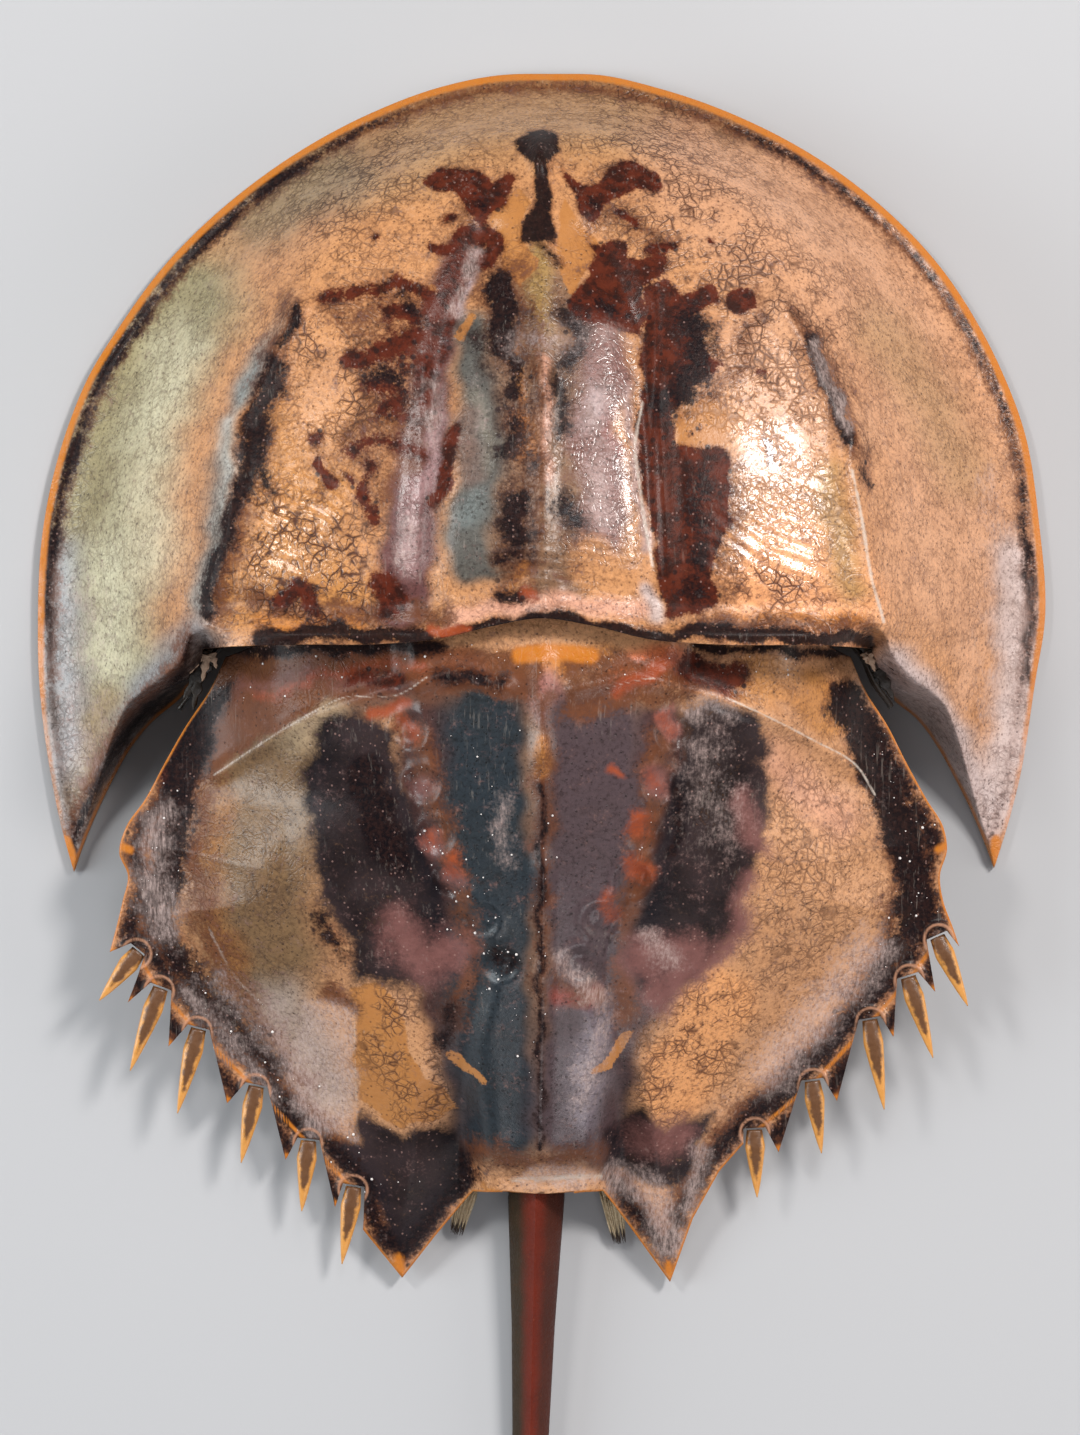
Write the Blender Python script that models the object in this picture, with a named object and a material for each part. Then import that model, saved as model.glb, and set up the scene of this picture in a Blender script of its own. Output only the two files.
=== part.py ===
"""The dried shell of a horseshoe crab, resting on its rim, head towards +Y and tail towards -Y.

Every length below is in millimetres and is scaled to metres where a mesh is written. The origin is on the
table, under the middle of the shell's box.
"""

import math

import bmesh
import bpy
import numpy as np
from mathutils import Vector

MM = 0.001
GAP = 0.3

# Front shell: its wall, its flat turned-in rim below, and the slopes that rise from that rim.
WALL = 1.8
RIM_THICK = 2.2
RIM_FLOOR = 1.8
RIM_INSET = 3.4
FLANGE_SLOPE = 0.45
SIDE_FLANGE, SIDE_SLOPE = 8.0, 1.6
BROW_FLANGE, BROW_SLOPE = 5.0, 2.7
CREST_SLOPE, CORNER_RISE = 4.0, 33.0
SHOULDER_X, SHOULDER_DROP = 65.0, 10.0
BLEND = 3.5

# Its outline seen from above, from the left rear point round the head to the right rear point.
RIM = (
    (-97.4, 56.4), (-100.1, 66.2), (-102.2, 76.6), (-104.7, 97.5), (-104.9, 107.9), (-103.7, 128.8),
    (-98.5, 149.6), (-94.1, 160.1), (-87.6, 170.5), (-80.1, 180.9), (-60.1, 199.9), (-34.8, 214.9),
    (-21.1, 220.0), (-8.8, 222.5), (2.3, 222.8), (12.7, 222.5), (23.8, 220.0), (38.8, 214.9),
    (65.3, 199.9), (84.5, 180.9), (91.2, 170.5), (96.4, 160.1), (100.4, 149.6), (103.9, 128.8),
    (105.0, 107.9), (103.3, 97.5), (99.5, 74.5), (97.0, 65.1), (94.5, 57.2),
)
# The inner edges of the two rear corners, from the hinge out to the points.
LEFT_INNER = (
    (-69.0, 102.7), (-70.0, 98.8), (-74.2, 93.6), (-81.8, 87.0), (-85.8, 81.9), (-88.8, 76.6),
    (-91.6, 71.0), (-94.4, 64.6), (-97.4, 56.4),
)
RIGHT_INNER = (
    (67.4, 102.7), (69.4, 98.4), (72.4, 93.4), (78.5, 88.2), (83.1, 81.9), (86.0, 76.6),
    (88.8, 71.2), (91.6, 64.8), (94.5, 57.2),
)
# The hinge edge, which curves forward under the keel.
HINGE = (
    (-69.0, 102.7), (-48.8, 103.2), (-32.3, 103.3), (-19.6, 104.5), (-10.0, 106.8), (0.0, 108.4),
    (10.0, 107.0), (22.0, 104.2), (35.5, 103.2), (52.4, 103.1), (67.4, 102.7),
)
CROWN = (
    (95.0, 66.0), (104.0, 66.0), (120.0, 64.5), (140.0, 60.0), (165.0, 53.0), (188.0, 43.0),
    (205.0, 32.0), (215.0, 27.0), (228.0, 20.0),
)
LEFT_EYE_RIDGE = (
    (-49.2, 172.1), (-54.9, 161.0), (-62.0, 147.8), (-63.0, 136.7), (-64.0, 124.6), (-68.3, 108.4),
)
RIGHT_EYE_RIDGE = (
    (48.6, 172.6), (56.5, 159.0), (61.6, 148.4), (62.6, 137.3), (65.6, 124.6), (68.8, 108.4),
)
LEFT_LOBE_GROOVE = ((-11.0, 186.0), (-18.0, 168.0), (-22.5, 143.0), (-24.5, 108.0))
RIGHT_LOBE_GROOVE = ((11.0, 186.0), (18.0, 168.0), (22.5, 143.0), (24.5, 108.0))
# The keel, and each raised spot as its place, its reach along x and y, and its height.
FRONT_KEEL = ((0.0, 206.0), (0.3, 150.0), (0.5, 108.0))
FRONT_KNOBS = (
    ((-64.0, 144.2), (2.6, 5.4), 2.4), ((64.4, 145.6), (2.6, 5.4), 2.4), ((-0.3, 203.0), (2.2, 4.0), 2.6),
    ((0.3, 156.0), (2.2, 4.0), 1.4), ((0.5, 113.0), (2.4, 3.4), 1.6),
)
# Where the brow steepens and the rear corners rise, as runs of y.
BROW_RUN, CORNER_RUN = (150.0, 208.0), (90.0, 103.0)
# The hollow under the dome keeps clear of the inner edges and the hinge.
HOLLOW_CLEAR, HINGE_CLEAR = 2.6, 9.0
MOUTH_FRONT, MOUTH_SIDE, MOUTH_REAR = 30.0, 13.0, 112.0
MOUTH_ENDS = ((62.0, 90.0), (-63.5, 90.0))
DOORWAY = ((-68.4, 94.0), (-68.4, 109.0), (66.8, 109.0), (66.8, 94.0))
DOOR_TOP = 31.0
CORNER_SHARE = 0.13
FRONT_FACES, DOME_FACES = (64, 22), (40, 12)

# Rear shell. Its flat-cut lower edge lies in one plane that falls towards the tail.
EDGE_THICK = 2.5
LOW_FRONT, LOW_REAR = (100.0, 26.0), (-15.0, 4.6)
REAR_WALL = 1.8
REAR_FLANGE, REAR_FLANGE_SLOPE, REAR_SLOPE = 12.0, 0.25, 0.95
FRONT_FLANGE, FRONT_SLOPE = 3.0, 2.0
TUCK = 3.4
SPINE_RIDGE = (
    (-40.0, 12.0), (-12.0, 21.0), (0.0, 27.0), (30.0, 41.0), (60.0, 53.0), (80.0, 58.0), (100.0, 60.0),
    (112.0, 59.0),
)
LOBE_WIDTH = ((-15.0, 13.0), (20.0, 14.0), (40.0, 11.0), (60.0, 20.0), (92.0, 27.0), (110.0, 29.0))
LOBE_RISE, CROWN_DROP, CROWN_HALF = 3.6, 9.0, 52.0
REAR_KEEL = ((0.0, 100.0), (0.4, 40.0), (-0.6, -8.0))
REAR_KNOBS = ((0.4, 82.0), (0.4, 58.0), (0.4, 36.0))
SHOULDER_RUN, ARCH_RUN = (70.0, 98.0), (-6.0, 34.0)
PIT_RADIUS, PIT_DEPTH = 2.6, 1.9
EDGE_SPLITS, REAR_ROWS, HOLLOW_FACES = 2, 14, (34, 12)
HOLLOW_DROP = 6.0
LEFT_SIDE = (
    (-64.6, 101.0), (-67.4, 95.0), (-73.0, 86.6), (-77.2, 79.4), (-81.5, 71.6), (-85.4, 66.0),
    (-86.8, 60.6), (-85.1, 56.1), (-86.2, 50.9), (-87.5, 45.7), (-89.0, 40.2),
)
RIGHT_SIDE = (
    (63.4, 101.0), (66.0, 95.0), (71.4, 86.4), (74.8, 79.8), (79.4, 71.6), (82.8, 66.0),
    (83.6, 61.6), (82.2, 56.1), (82.9, 50.9), (84.8, 45.7), (86.3, 41.4),
)
# Fixed side points, with the notch behind each one where a loose spine sits.
LEFT_POINTS = ((-89.0, 40.2), (-85.3, 29.8), (-77.0, 20.6), (-65.0, 8.7), (-53.0, -3.2), (-42.8, -13.2))
RIGHT_POINTS = ((86.3, 41.4), (81.4, 32.0), (72.9, 22.6), (61.3, 9.2), (49.3, -1.6))
LEFT_NOTCHES = ((-83.4, 39.9), (-78.8, 32.2), (-71.0, 23.7), (-59.1, 11.7), (-48.3, 0.3), (-39.0, -9.4))
RIGHT_NOTCHES = ((82.0, 42.9), (76.0, 34.5), (68.1, 25.6), (56.3, 12.8), (44.3, 2.6))
LEFT_SPINE_TIPS = ((-91.3, 30.1), (-85.0, 15.5), (-75.3, 6.6), (-62.2, -3.8), (-49.7, -14.0), (-41.4, -25.1))
RIGHT_SPINE_TIPS = ((88.2, 29.0), (81.1, 18.2), (71.1, 7.4), (58.2, -1.8), (44.9, -11.1))
# From the last side point round both end points and over the tail root. The right side has no sixth notch.
TAIL_EDGE = (
    (-37.0, -18.0), (-28.9, -28.1), (-22.0, -19.2), (-14.1, -9.6), (-8.4, -9.4), (0.0, -10.4),
    (9.1, -9.4), (12.8, -9.4), (18.6, -17.4), (26.9, -29.0), (31.6, -15.5), (37.0, -5.6), (42.0, 0.2),
)
PITS = ((26.4, 86.0), (23.8, 75.0), (20.8, 64.6), (18.5, 55.6), (12.0, 47.6), (8.0, 38.5))
ARC_RIDGE = ((7.0, 94.4), (18.5, 97.2), (32.0, 93.6), (46.0, 89.0), (55.0, 84.2), (66.0, 77.4))

# Tail spine, loose side spines, hinge strap and bristles.
TAIL_ROOT, TAIL_TIP = (-0.6, 4.0), (-6.0, -222.5)
TAIL_WIDTH = ((-222.5, 0.8), (-160.0, 3.6), (-100.0, 6.0), (-59.0, 7.7), (-38.0, 9.0), (-12.0, 11.7), (4.0, 12.0))
TAIL_HEIGHT_SHARE = 0.82
TAIL_BASE = ((-222.5, 0.1), (-150.0, 0.9), (-60.0, 3.0), (4.0, 5.2))
ARCH_LIFT, ARCH_INNER, ARCH_OUTER = 11.0, 8.5, 17.0
TUNNEL_HALF, TUNNEL_TOP, TUNNEL_REAR, TUNNEL_FRONT = 7.4, 16.4, -16.0, 8.0
TAIL_SECTION = (
    (-1.0, 0.0), (-0.93, 0.24), (-0.22, 0.93), (0.0, 1.0), (0.22, 0.93), (0.93, 0.24), (1.0, 0.0),
    (0.55, -0.05), (-0.55, -0.05),
)
SPINE_WIDTH, SPINE_THICK = 4.4, 2.4
SOCKET_HALF, SOCKET_DEPTH = 2.3, 0.9
STRAP_THICK, STRAP_TALL = 1.2, 7.0
STRAP_LOW, STRAP_ARCH, STRAP_DROP, STRAP_HALF = 29.8, 24.0, 8.0, 63.0
STRAP_LEFT = ((-74.6, 90.2), (-70.7, 95.4), (-67.4, 100.8), (-62.0, 107.0))
STRAP_RIGHT = ((60.4, 107.0), (65.8, 100.8), (68.6, 95.6), (72.0, 90.6))
TUFT_WIDTH, TUFT_THICK = 5.6, 1.8
TUFTS = (("left", (-14.2, -4.0, 4.4), (-17.8, -19.4, 2.2)), ("right", (13.6, -4.0, 4.4), (16.4, -21.4, 2.0)))

SHELL_BROWN = (0.33, 0.20, 0.10, 1.0)
SHELL_DARK = (0.12, 0.08, 0.07, 1.0)
SPINE_ORANGE = (0.52, 0.27, 0.08, 1.0)
STRAP_BLACK = (0.03, 0.025, 0.02, 1.0)
BRISTLE_CREAM = (0.72, 0.60, 0.45, 1.0)


def along(table, at):
    """A smooth curve through a short table of (place, value) pairs."""
    place, value = np.array(table, float).T
    slope = np.gradient(value, place)
    at = np.clip(at, place[0], place[-1])
    i = np.clip(np.searchsorted(place, at) - 1, 0, len(place) - 2)
    step = place[i + 1] - place[i]
    f = (at - place[i]) / step
    rise = (3 - 2 * f) * f * f
    bend = f * (1 - f) * step * ((1 - f) * slope[i] - f * slope[i + 1])
    return value[i] * (1 - rise) + value[i + 1] * rise + bend


def through(points, shares):
    """Places on the smooth curve through some points, each at a share of the curve's length."""
    points = np.array(points, float)
    run = np.concatenate([[0], np.cumsum(np.hypot(*np.diff(points, axis=0).T))])
    return np.stack([along(np.column_stack([run, points[:, k]]), shares * run[-1]) for k in (0, 1)])


def outline(points, count=120):
    return through(points, np.linspace(0, 1, count)).T


def distance(x, y, line):
    """How far each place is from a line of straight runs."""
    best = np.full(np.shape(x), 1e9)
    for (ax, ay), (bx, by) in zip(line[:-1], line[1:]):
        dx, dy = bx - ax, by - ay
        f = np.clip(((x - ax) * dx + (y - ay) * dy) / (dx * dx + dy * dy), 0, 1)
        best = np.minimum(best, np.hypot(x - ax - f * dx, y - ay - f * dy))
    return best


def lower(a, b, blend=BLEND):
    """The lower of two heights, with a soft change from one to the other."""
    return np.minimum(a, b) - blend * np.log1p(np.exp(-np.abs(a - b) / blend))


def step_up(value, start, end):
    f = np.clip((value - start) / (end - start), 0, 1)
    return f * f * (3 - 2 * f)


def bead(x, y, line, width, height):
    return height * np.exp(-((distance(x, y, line) / width) ** 2))


def knob(x, y, centre, size, height):
    return height * np.exp(-(((x - centre[0]) / size[0]) ** 2) - ((y - centre[1]) / size[1]) ** 2)


RIM_LINE = outline(RIM)
LEFT_INNER_LINE = outline(LEFT_INNER, 40)
RIGHT_INNER_LINE = outline(RIGHT_INNER, 40)


def front_height(x, y):
    """Outer surface of the front shell over the table."""
    out = distance(x, y, RIM_LINE)
    brow = step_up(y, *BROW_RUN)
    flange = SIDE_FLANGE + (BROW_FLANGE - SIDE_FLANGE) * brow
    slope = SIDE_SLOPE + (BROW_SLOPE - SIDE_SLOPE) * brow
    steep = np.logaddexp(0, (out - flange) / 1.4) * 1.4
    side = RIM_THICK + FLANGE_SLOPE * out + (slope - FLANGE_SLOPE) * steep
    crown = along(CROWN, y) - SHOULDER_DROP * (np.abs(x) / SHOULDER_X) ** 2.4
    z = lower(side, crown)
    corner = CORNER_RISE * step_up(y, *CORNER_RUN)
    for line in (LEFT_INNER_LINE, RIGHT_INNER_LINE):
        z = lower(z, RIM_THICK + corner + CREST_SLOPE * distance(x, y, line), 0.9)
    inside = step_up(out, 8, 20)
    for line in (LEFT_EYE_RIDGE, RIGHT_EYE_RIDGE):
        z += bead(x, y, line, 3.0, 2.2) * inside
    for centre, size, height in FRONT_KNOBS:
        z += knob(x, y, centre, size, height)
    for line in (LEFT_LOBE_GROOVE, RIGHT_LOBE_GROOVE):
        z -= bead(x, y, line, 4.2, 2.6)
    z += bead(x, y, FRONT_KEEL, 2.4, 1.2)
    z -= bead(x, y, outline(HINGE, 30) + np.array([0.0, 8.0]), 3.4, 1.5)
    return z


def low_edge(y):
    """The plane that the rear shell's lower edge lies in."""
    (y1, z1), (y2, z2) = LOW_FRONT, LOW_REAR
    return z1 + (y - y1) * (z2 - z1) / (y2 - y1)


REAR_LINE = np.concatenate([outline(LEFT_SIDE, 40), np.array(LEFT_NOTCHES), np.array(TAIL_EDGE),
                            np.array(RIGHT_NOTCHES)[::-1], outline(RIGHT_SIDE, 40)[::-1]])


def rear_height(x, y):
    """Outer surface of the rear shell over the table."""
    out = distance(x, y, REAR_LINE)
    shoulder = step_up(y, *SHOULDER_RUN)
    flange = REAR_FLANGE - (REAR_FLANGE - FRONT_FLANGE) * shoulder
    slope = REAR_SLOPE + (FRONT_SLOPE - REAR_SLOPE) * shoulder
    steep = np.logaddexp(0, (out - flange) / 2.0) * 2.0
    side = low_edge(y) + EDGE_THICK + REAR_FLANGE_SLOPE * out + (slope - REAR_FLANGE_SLOPE) * steep
    off = np.abs(x)
    lobe = along(LOBE_WIDTH, y)
    side += ARCH_LIFT * (1 - step_up(off, ARCH_INNER, ARCH_OUTER)) * (1 - step_up(y, *ARCH_RUN))
    crown = along(SPINE_RIDGE, y) - 4.0 - CROWN_DROP * (np.minimum(off, CROWN_HALF) / 50.0) ** 2
    z = lower(side, crown, 3.0)
    deep = step_up(out, 2, 12)
    z += LOBE_RISE * (1 - step_up(off, lobe - 3.0, lobe + 2.5)) * deep
    z += bead(x, y, REAR_KEEL, 2.2, 1.3) * deep
    for centre in REAR_KNOBS:
        z += knob(x, y, centre, (1.9, 3.2), 1.3)
    for side_x in (-1, 1):
        arc = [(side_x * px, py) for px, py in ARC_RIDGE]
        z += bead(x, y, arc, 2.0, 1.5) * deep
        for px, py in PITS:
            z -= knob(x, y, (side_x * px, py), (PIT_RADIUS, PIT_RADIUS), PIT_DEPTH)
    return z


def under_wall(height, x, y, wall, reach=2.0):
    """The inner surface: a wall below the lowest outer height close by, so that steep steps keep their wall."""
    near = [height(x + dx, y + dy) for dx, dy in ((0, 0), (reach, 0), (-reach, 0), (0, reach), (0, -reach))]
    return np.minimum.reduce(near) - wall


def material(name, colour, roughness):
    made = bpy.data.materials.new(name)
    made.use_nodes = True
    shader = made.node_tree.nodes["Principled BSDF"]
    shader.inputs["Base Color"].default_value = colour
    shader.inputs["Roughness"].default_value = roughness
    shader.inputs["Metallic"].default_value = 0.0
    return made


def new_object(name, bm, collection, look=None):
    bmesh.ops.recalc_face_normals(bm, faces=bm.faces)
    if bm.calc_volume(signed=True) < 0:
        bmesh.ops.reverse_faces(bm, faces=bm.faces)
    mesh = bpy.data.meshes.new(name)
    bm.to_mesh(mesh)
    bm.free()
    made = bpy.data.objects.new(name, mesh)
    collection.objects.link(made)
    if look:
        mesh.materials.append(look)
        mesh.shade_smooth()
        mesh.set_sharp_from_angle(angle=math.radians(40))
    else:
        made.hide_render = True
        made.display_type = "WIRE"
    return made


def slab(columns, rows, plan, top, bottom, plain_base=True):
    """A closed body between two heights, over a plan that bends a square grid."""
    bm = bmesh.new()
    bmesh.ops.create_grid(bm, x_segments=columns, y_segments=rows, size=1.0)
    raised = bmesh.ops.extrude_face_region(bm, geom=bm.faces[:])
    for item in raised["geom"]:
        if isinstance(item, bmesh.types.BMVert):
            item.co.z = 1.0
    place = np.array([v.co[:] for v in bm.verts])
    x, y = plan((place[:, 0] + 1) / 2, (place[:, 1] + 1) / 2)
    z = np.where(place[:, 2] > 0.5, top(x, y), bottom(x, y))
    flat = [v for v, up in zip(bm.verts, place[:, 2]) if up < 0.5]
    for vert, where in zip(bm.verts, np.column_stack([x, y, z]) * MM):
        vert.co = where
    bmesh.ops.remove_doubles(bm, verts=bm.verts, dist=1e-7)
    if plain_base:
        inner = {v for v in flat if v.is_valid}
        edges = [e for e in bm.edges if e.verts[0] in inner and e.verts[1] in inner]
        bmesh.ops.dissolve_limit(bm, angle_limit=0.002, verts=list(inner), edges=edges)
    return bm


def prism(points, low, high):
    """An upright block with the outline of some points."""
    bm = bmesh.new()
    ring = [bm.verts.new((x * MM, y * MM, low * MM)) for x, y in points]
    face = bm.faces.new(ring)
    up = bmesh.ops.extrude_face_region(bm, geom=[face])
    moved = [v for v in up["geom"] if isinstance(v, bmesh.types.BMVert)]
    bmesh.ops.translate(bm, vec=(0, 0, (high - low) * MM), verts=moved)
    return bm


def tube(around, lengths, place):
    """A closed body wrapped round a line: place(angle, share) gives each point, and both ends are capped."""
    bm = bmesh.new()
    bmesh.ops.create_grid(bm, x_segments=around, y_segments=lengths, size=1.0)
    for vert in bm.verts:
        vert.co = Vector(place(math.pi * (vert.co.x + 1), (vert.co.y + 1) / 2)) * MM
    bmesh.ops.remove_doubles(bm, verts=bm.verts, dist=1e-7)
    bmesh.ops.holes_fill(bm, edges=[e for e in bm.edges if e.is_boundary], sides=around)
    return bm


def cut(body, cutter):
    boolean = body.modifiers.new(f"cut {cutter.name}", "BOOLEAN")
    boolean.operation = "DIFFERENCE"
    boolean.solver = "EXACT"
    boolean.object = cutter


def inset(points, amount):
    """A closed-in copy of an open outline, moved to its right-hand side."""
    points = np.array(points, float)
    ahead = np.gradient(points, axis=0)
    side = np.column_stack([ahead[:, 1], -ahead[:, 0]]) / np.hypot(*ahead.T)[:, None]
    return points + side * np.broadcast_to(amount, len(points))[:, None]


def front_plan(rim, inner_left, inner_right, hinge):
    """Bends the square grid to the horseshoe: u runs round the rim, v from the rim to the inner edge."""
    def plan(u, v):
        far = through(rim, u)
        left = through(inner_left[::-1], np.clip(u / CORNER_SHARE, 0, 1))
        right = through(inner_right, np.clip((u - 1 + CORNER_SHARE) / CORNER_SHARE, 0, 1))
        middle = through(hinge, np.clip((u - CORNER_SHARE) / (1 - 2 * CORNER_SHARE), 0, 1))
        near = np.where(u < CORNER_SHARE, left, np.where(u > 1 - CORNER_SHARE, right, middle))
        share = 1 - (1 - v) ** 1.35
        share = np.where(v > 0, 0.18 * v + 0.82 * share * v ** 0.35, 0.0)
        return far + (near - far) * share
    return plan


def build_front(parts, cutters, look):
    plan = front_plan(RIM, LEFT_INNER, RIGHT_INNER, HINGE)
    body = new_object("front_shell", slab(*FRONT_FACES, plan, front_height, lambda x, y: 0 * x), parts, look)

    rim = inset(outline(RIM, 60), RIM_INSET)[3:-3]
    left = inset(outline(LEFT_INNER, 16), HOLLOW_CLEAR)[:11]
    right = inset(outline(RIGHT_INNER, 16), -HOLLOW_CLEAR)[:11]
    hinge = np.array(HINGE)
    hinge[:, 1] -= HINGE_CLEAR
    hinge[0], hinge[-1] = left[0], right[0]
    rim[0], rim[-1] = left[-1] - (1.0, 0.4), right[-1] + (1.0, -0.4)
    hollow = front_plan(rim, left, right, hinge)

    def roof(x, y):
        return np.maximum(under_wall(front_height, x, y, WALL), RIM_FLOOR + 0.15)

    dome = new_object("front_hollow", slab(*DOME_FACES, hollow, roof, lambda x, y: 0 * x + RIM_FLOOR), cutters)
    cut(body, dome)

    ring = outline(RIM, 40)
    width = MOUTH_SIDE + (MOUTH_FRONT - MOUTH_SIDE) * step_up(ring[:, 1], 150, 215)
    mouth = inset(ring, width)
    mouth = np.concatenate([mouth[mouth[:, 1] > MOUTH_REAR], MOUTH_ENDS])
    opening = new_object("front_mouth", prism(mouth, -3.0, RIM_FLOOR + 0.6), cutters)
    cut(body, opening)

    doorway = new_object("front_doorway", prism(DOORWAY, -3.0, DOOR_TOP), cutters)
    cut(body, doorway)
    return body


def socket(base, tip):
    """The two inner corners of the open socket that a loose spine sits in, front one first."""
    base, tip = np.array(base), np.array(tip)
    ahead = (tip - base) / np.hypot(*(tip - base))
    side = np.array([-ahead[1], ahead[0]]) * SOCKET_HALF
    floor = base - ahead * SOCKET_DEPTH
    return sorted([tuple(floor + side), tuple(floor - side)], key=lambda place: -place[1])


def rear_edge(points, bases, tips):
    """The fixed side points with the sockets between them, as one zigzag."""
    places = []
    for point, base, tip in zip(points, bases, tips):
        places += [point, *socket(base, tip)]
    return places


def build_rear(parts, cutters, look):
    left = rear_edge(LEFT_POINTS, LEFT_NOTCHES, LEFT_SPINE_TIPS)
    right = rear_edge(RIGHT_POINTS, RIGHT_NOTCHES, RIGHT_SPINE_TIPS)
    order = np.array(left + list(TAIL_EDGE) + right[::-1])
    share_of = np.linspace(0, 1, len(order))
    front = np.array(HINGE) + (0.0, TUCK)
    front[:, 0] *= 0.955
    front[0], front[-1] = LEFT_SIDE[0], RIGHT_SIDE[0]

    def plan(u, v):
        zigzag = np.stack([np.interp(u, share_of, order[:, k]) for k in (0, 1)])
        reach = np.minimum(0.05, np.minimum(u, 1 - u))
        soft = sum(np.stack([np.interp(u + d * reach, share_of, order[:, k]) for k in (0, 1)])
                   for d in (-1, -0.5, 0, 0.5, 1)) / 5
        far = soft + (zigzag - soft) * v ** 5
        near = through(front, u)
        a, b = through(LEFT_SIDE, v), through(RIGHT_SIDE, v)
        flat = near * (1 - v) + far * v
        left_end = np.array(LEFT_SIDE[0])[:, None] * (1 - v) + np.array(LEFT_SIDE[-1])[:, None] * v
        right_end = np.array(RIGHT_SIDE[0])[:, None] * (1 - v) + np.array(RIGHT_SIDE[-1])[:, None] * v
        return flat + (a - left_end) * (1 - u) + (b - right_end) * u

    def under(x, y):
        return low_edge(y)

    columns = (len(order) - 1) * EDGE_SPLITS
    body = new_object("rear_shell", slab(columns, REAR_ROWS, plan, rear_height, under, False), parts, look)

    def hollow(u, v):
        x, y = plan(0.06 + 0.88 * u, 0.03 + 0.87 * v)
        return np.stack([x * 0.97, y])

    def roof(x, y):
        return np.maximum(under_wall(rear_height, x, y, REAR_WALL), low_edge(y) + 0.3)

    def below(x, y):
        return low_edge(y) - HOLLOW_DROP

    inside = new_object("rear_hollow", slab(*HOLLOW_FACES, hollow, roof, below, False), cutters)
    cut(body, inside)

    west, east = TAIL_ROOT[0] - TUNNEL_HALF, TAIL_ROOT[0] + TUNNEL_HALF
    sides = ((west, TUNNEL_REAR), (east, TUNNEL_REAR), (east, TUNNEL_FRONT), (west, TUNNEL_FRONT))
    tunnel = new_object("tail_tunnel", prism(sides, -3.0, TUNNEL_TOP), cutters)
    cut(body, tunnel)
    return body


def build_side_spine(name, base, tip, parts, look):
    """A flat curved thorn set just clear of its notch."""
    base, tip = Vector(base), Vector(tip)
    ahead = (tip - base).normalized()
    side = Vector((-ahead.y, ahead.x))
    start = base - ahead * (SOCKET_DEPTH - GAP * 1.5)
    z_root = low_edge(base.y) + 1.5

    def place(angle, share):
        swell = (0.72 + 0.9 * share) if share < 0.25 else 0.945 * (1 - (share - 0.25) / 0.75) ** 0.75
        swell = max(swell, 0.05)
        centre = start.lerp(tip, share)
        across = math.cos(angle) * SPINE_WIDTH / 2 * swell
        z = z_root - 1.6 * share * share + math.sin(angle) * SPINE_THICK / 2 * swell
        return (centre.x + side.x * across, centre.y + side.y * across, z)

    return new_object(name, tube(6, 5, place), parts, look)


def build_tail(parts, look):
    """A three-sided taper: a flat base below, a keel above."""
    def place(angle, share):
        y = TAIL_ROOT[1] + (TAIL_TIP[1] - TAIL_ROOT[1]) * share
        x = TAIL_ROOT[0] + (TAIL_TIP[0] - TAIL_ROOT[0]) * share
        half = float(along(TAIL_WIDTH, y)) / 2
        corner = round(angle / (2 * math.pi) * len(TAIL_SECTION)) % len(TAIL_SECTION)
        across, up = TAIL_SECTION[corner]
        z = float(along(TAIL_BASE, y)) + max(up + 0.05, 0) * half * 2 * TAIL_HEIGHT_SHARE
        return (x + across * half, y, z)

    return new_object("tail_spine", tube(len(TAIL_SECTION), 14, place), parts, look)


def build_strap(parts, look):
    """The dried strap that follows the hinge inside the front shell and comes out at both corners."""
    middle = np.array(HINGE)[2:-2] + (0.0, TUCK + 2.4)
    path = np.concatenate([STRAP_LEFT, middle, STRAP_RIGHT])

    def place(angle, share):
        x, y = through(path, np.array([share]))[:, 0]
        x2, y2 = through(path, np.array([min(share + 0.01, 1.0)]))[:, 0]
        x1, y1 = through(path, np.array([max(share - 0.01, 0.0)]))[:, 0]
        long = math.hypot(x2 - x1, y2 - y1)
        nx, ny = (y1 - y2) / long, (x2 - x1) / long
        arch = 1 - min(abs(x) / STRAP_HALF, 1.0) ** 2
        top = STRAP_LOW + STRAP_ARCH * arch - STRAP_DROP * float(step_up(abs(x), 66, 75))
        corner = round(angle / (2 * math.pi) * 4) % 4
        across = (-0.5, 0.5, 0.5, -0.5)[corner] * STRAP_THICK
        z = top - (0, 0, STRAP_TALL, STRAP_TALL)[corner]
        return (x + nx * across, y + ny * across, z)

    return new_object("hinge_membrane", tube(4, 24, place), parts, look)


def build_tuft(name, root, tip, parts, look):
    """The outer form of a tuft of bristles under the rear edge."""
    root, tip = Vector(root), Vector(tip)
    side = (tip - root).normalized().to_2d().orthogonal()

    def place(angle, share):
        centre = root.lerp(tip, share)
        swell = 1 - 0.55 * share ** 2
        across = math.cos(angle) * TUFT_WIDTH / 2 * swell
        up = math.sin(angle) * TUFT_THICK / 2 * swell
        return (centre.x + side.x * across, centre.y + side.y * across, centre.z + up)

    return new_object(name, tube(6, 4, place), parts, look)


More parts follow.
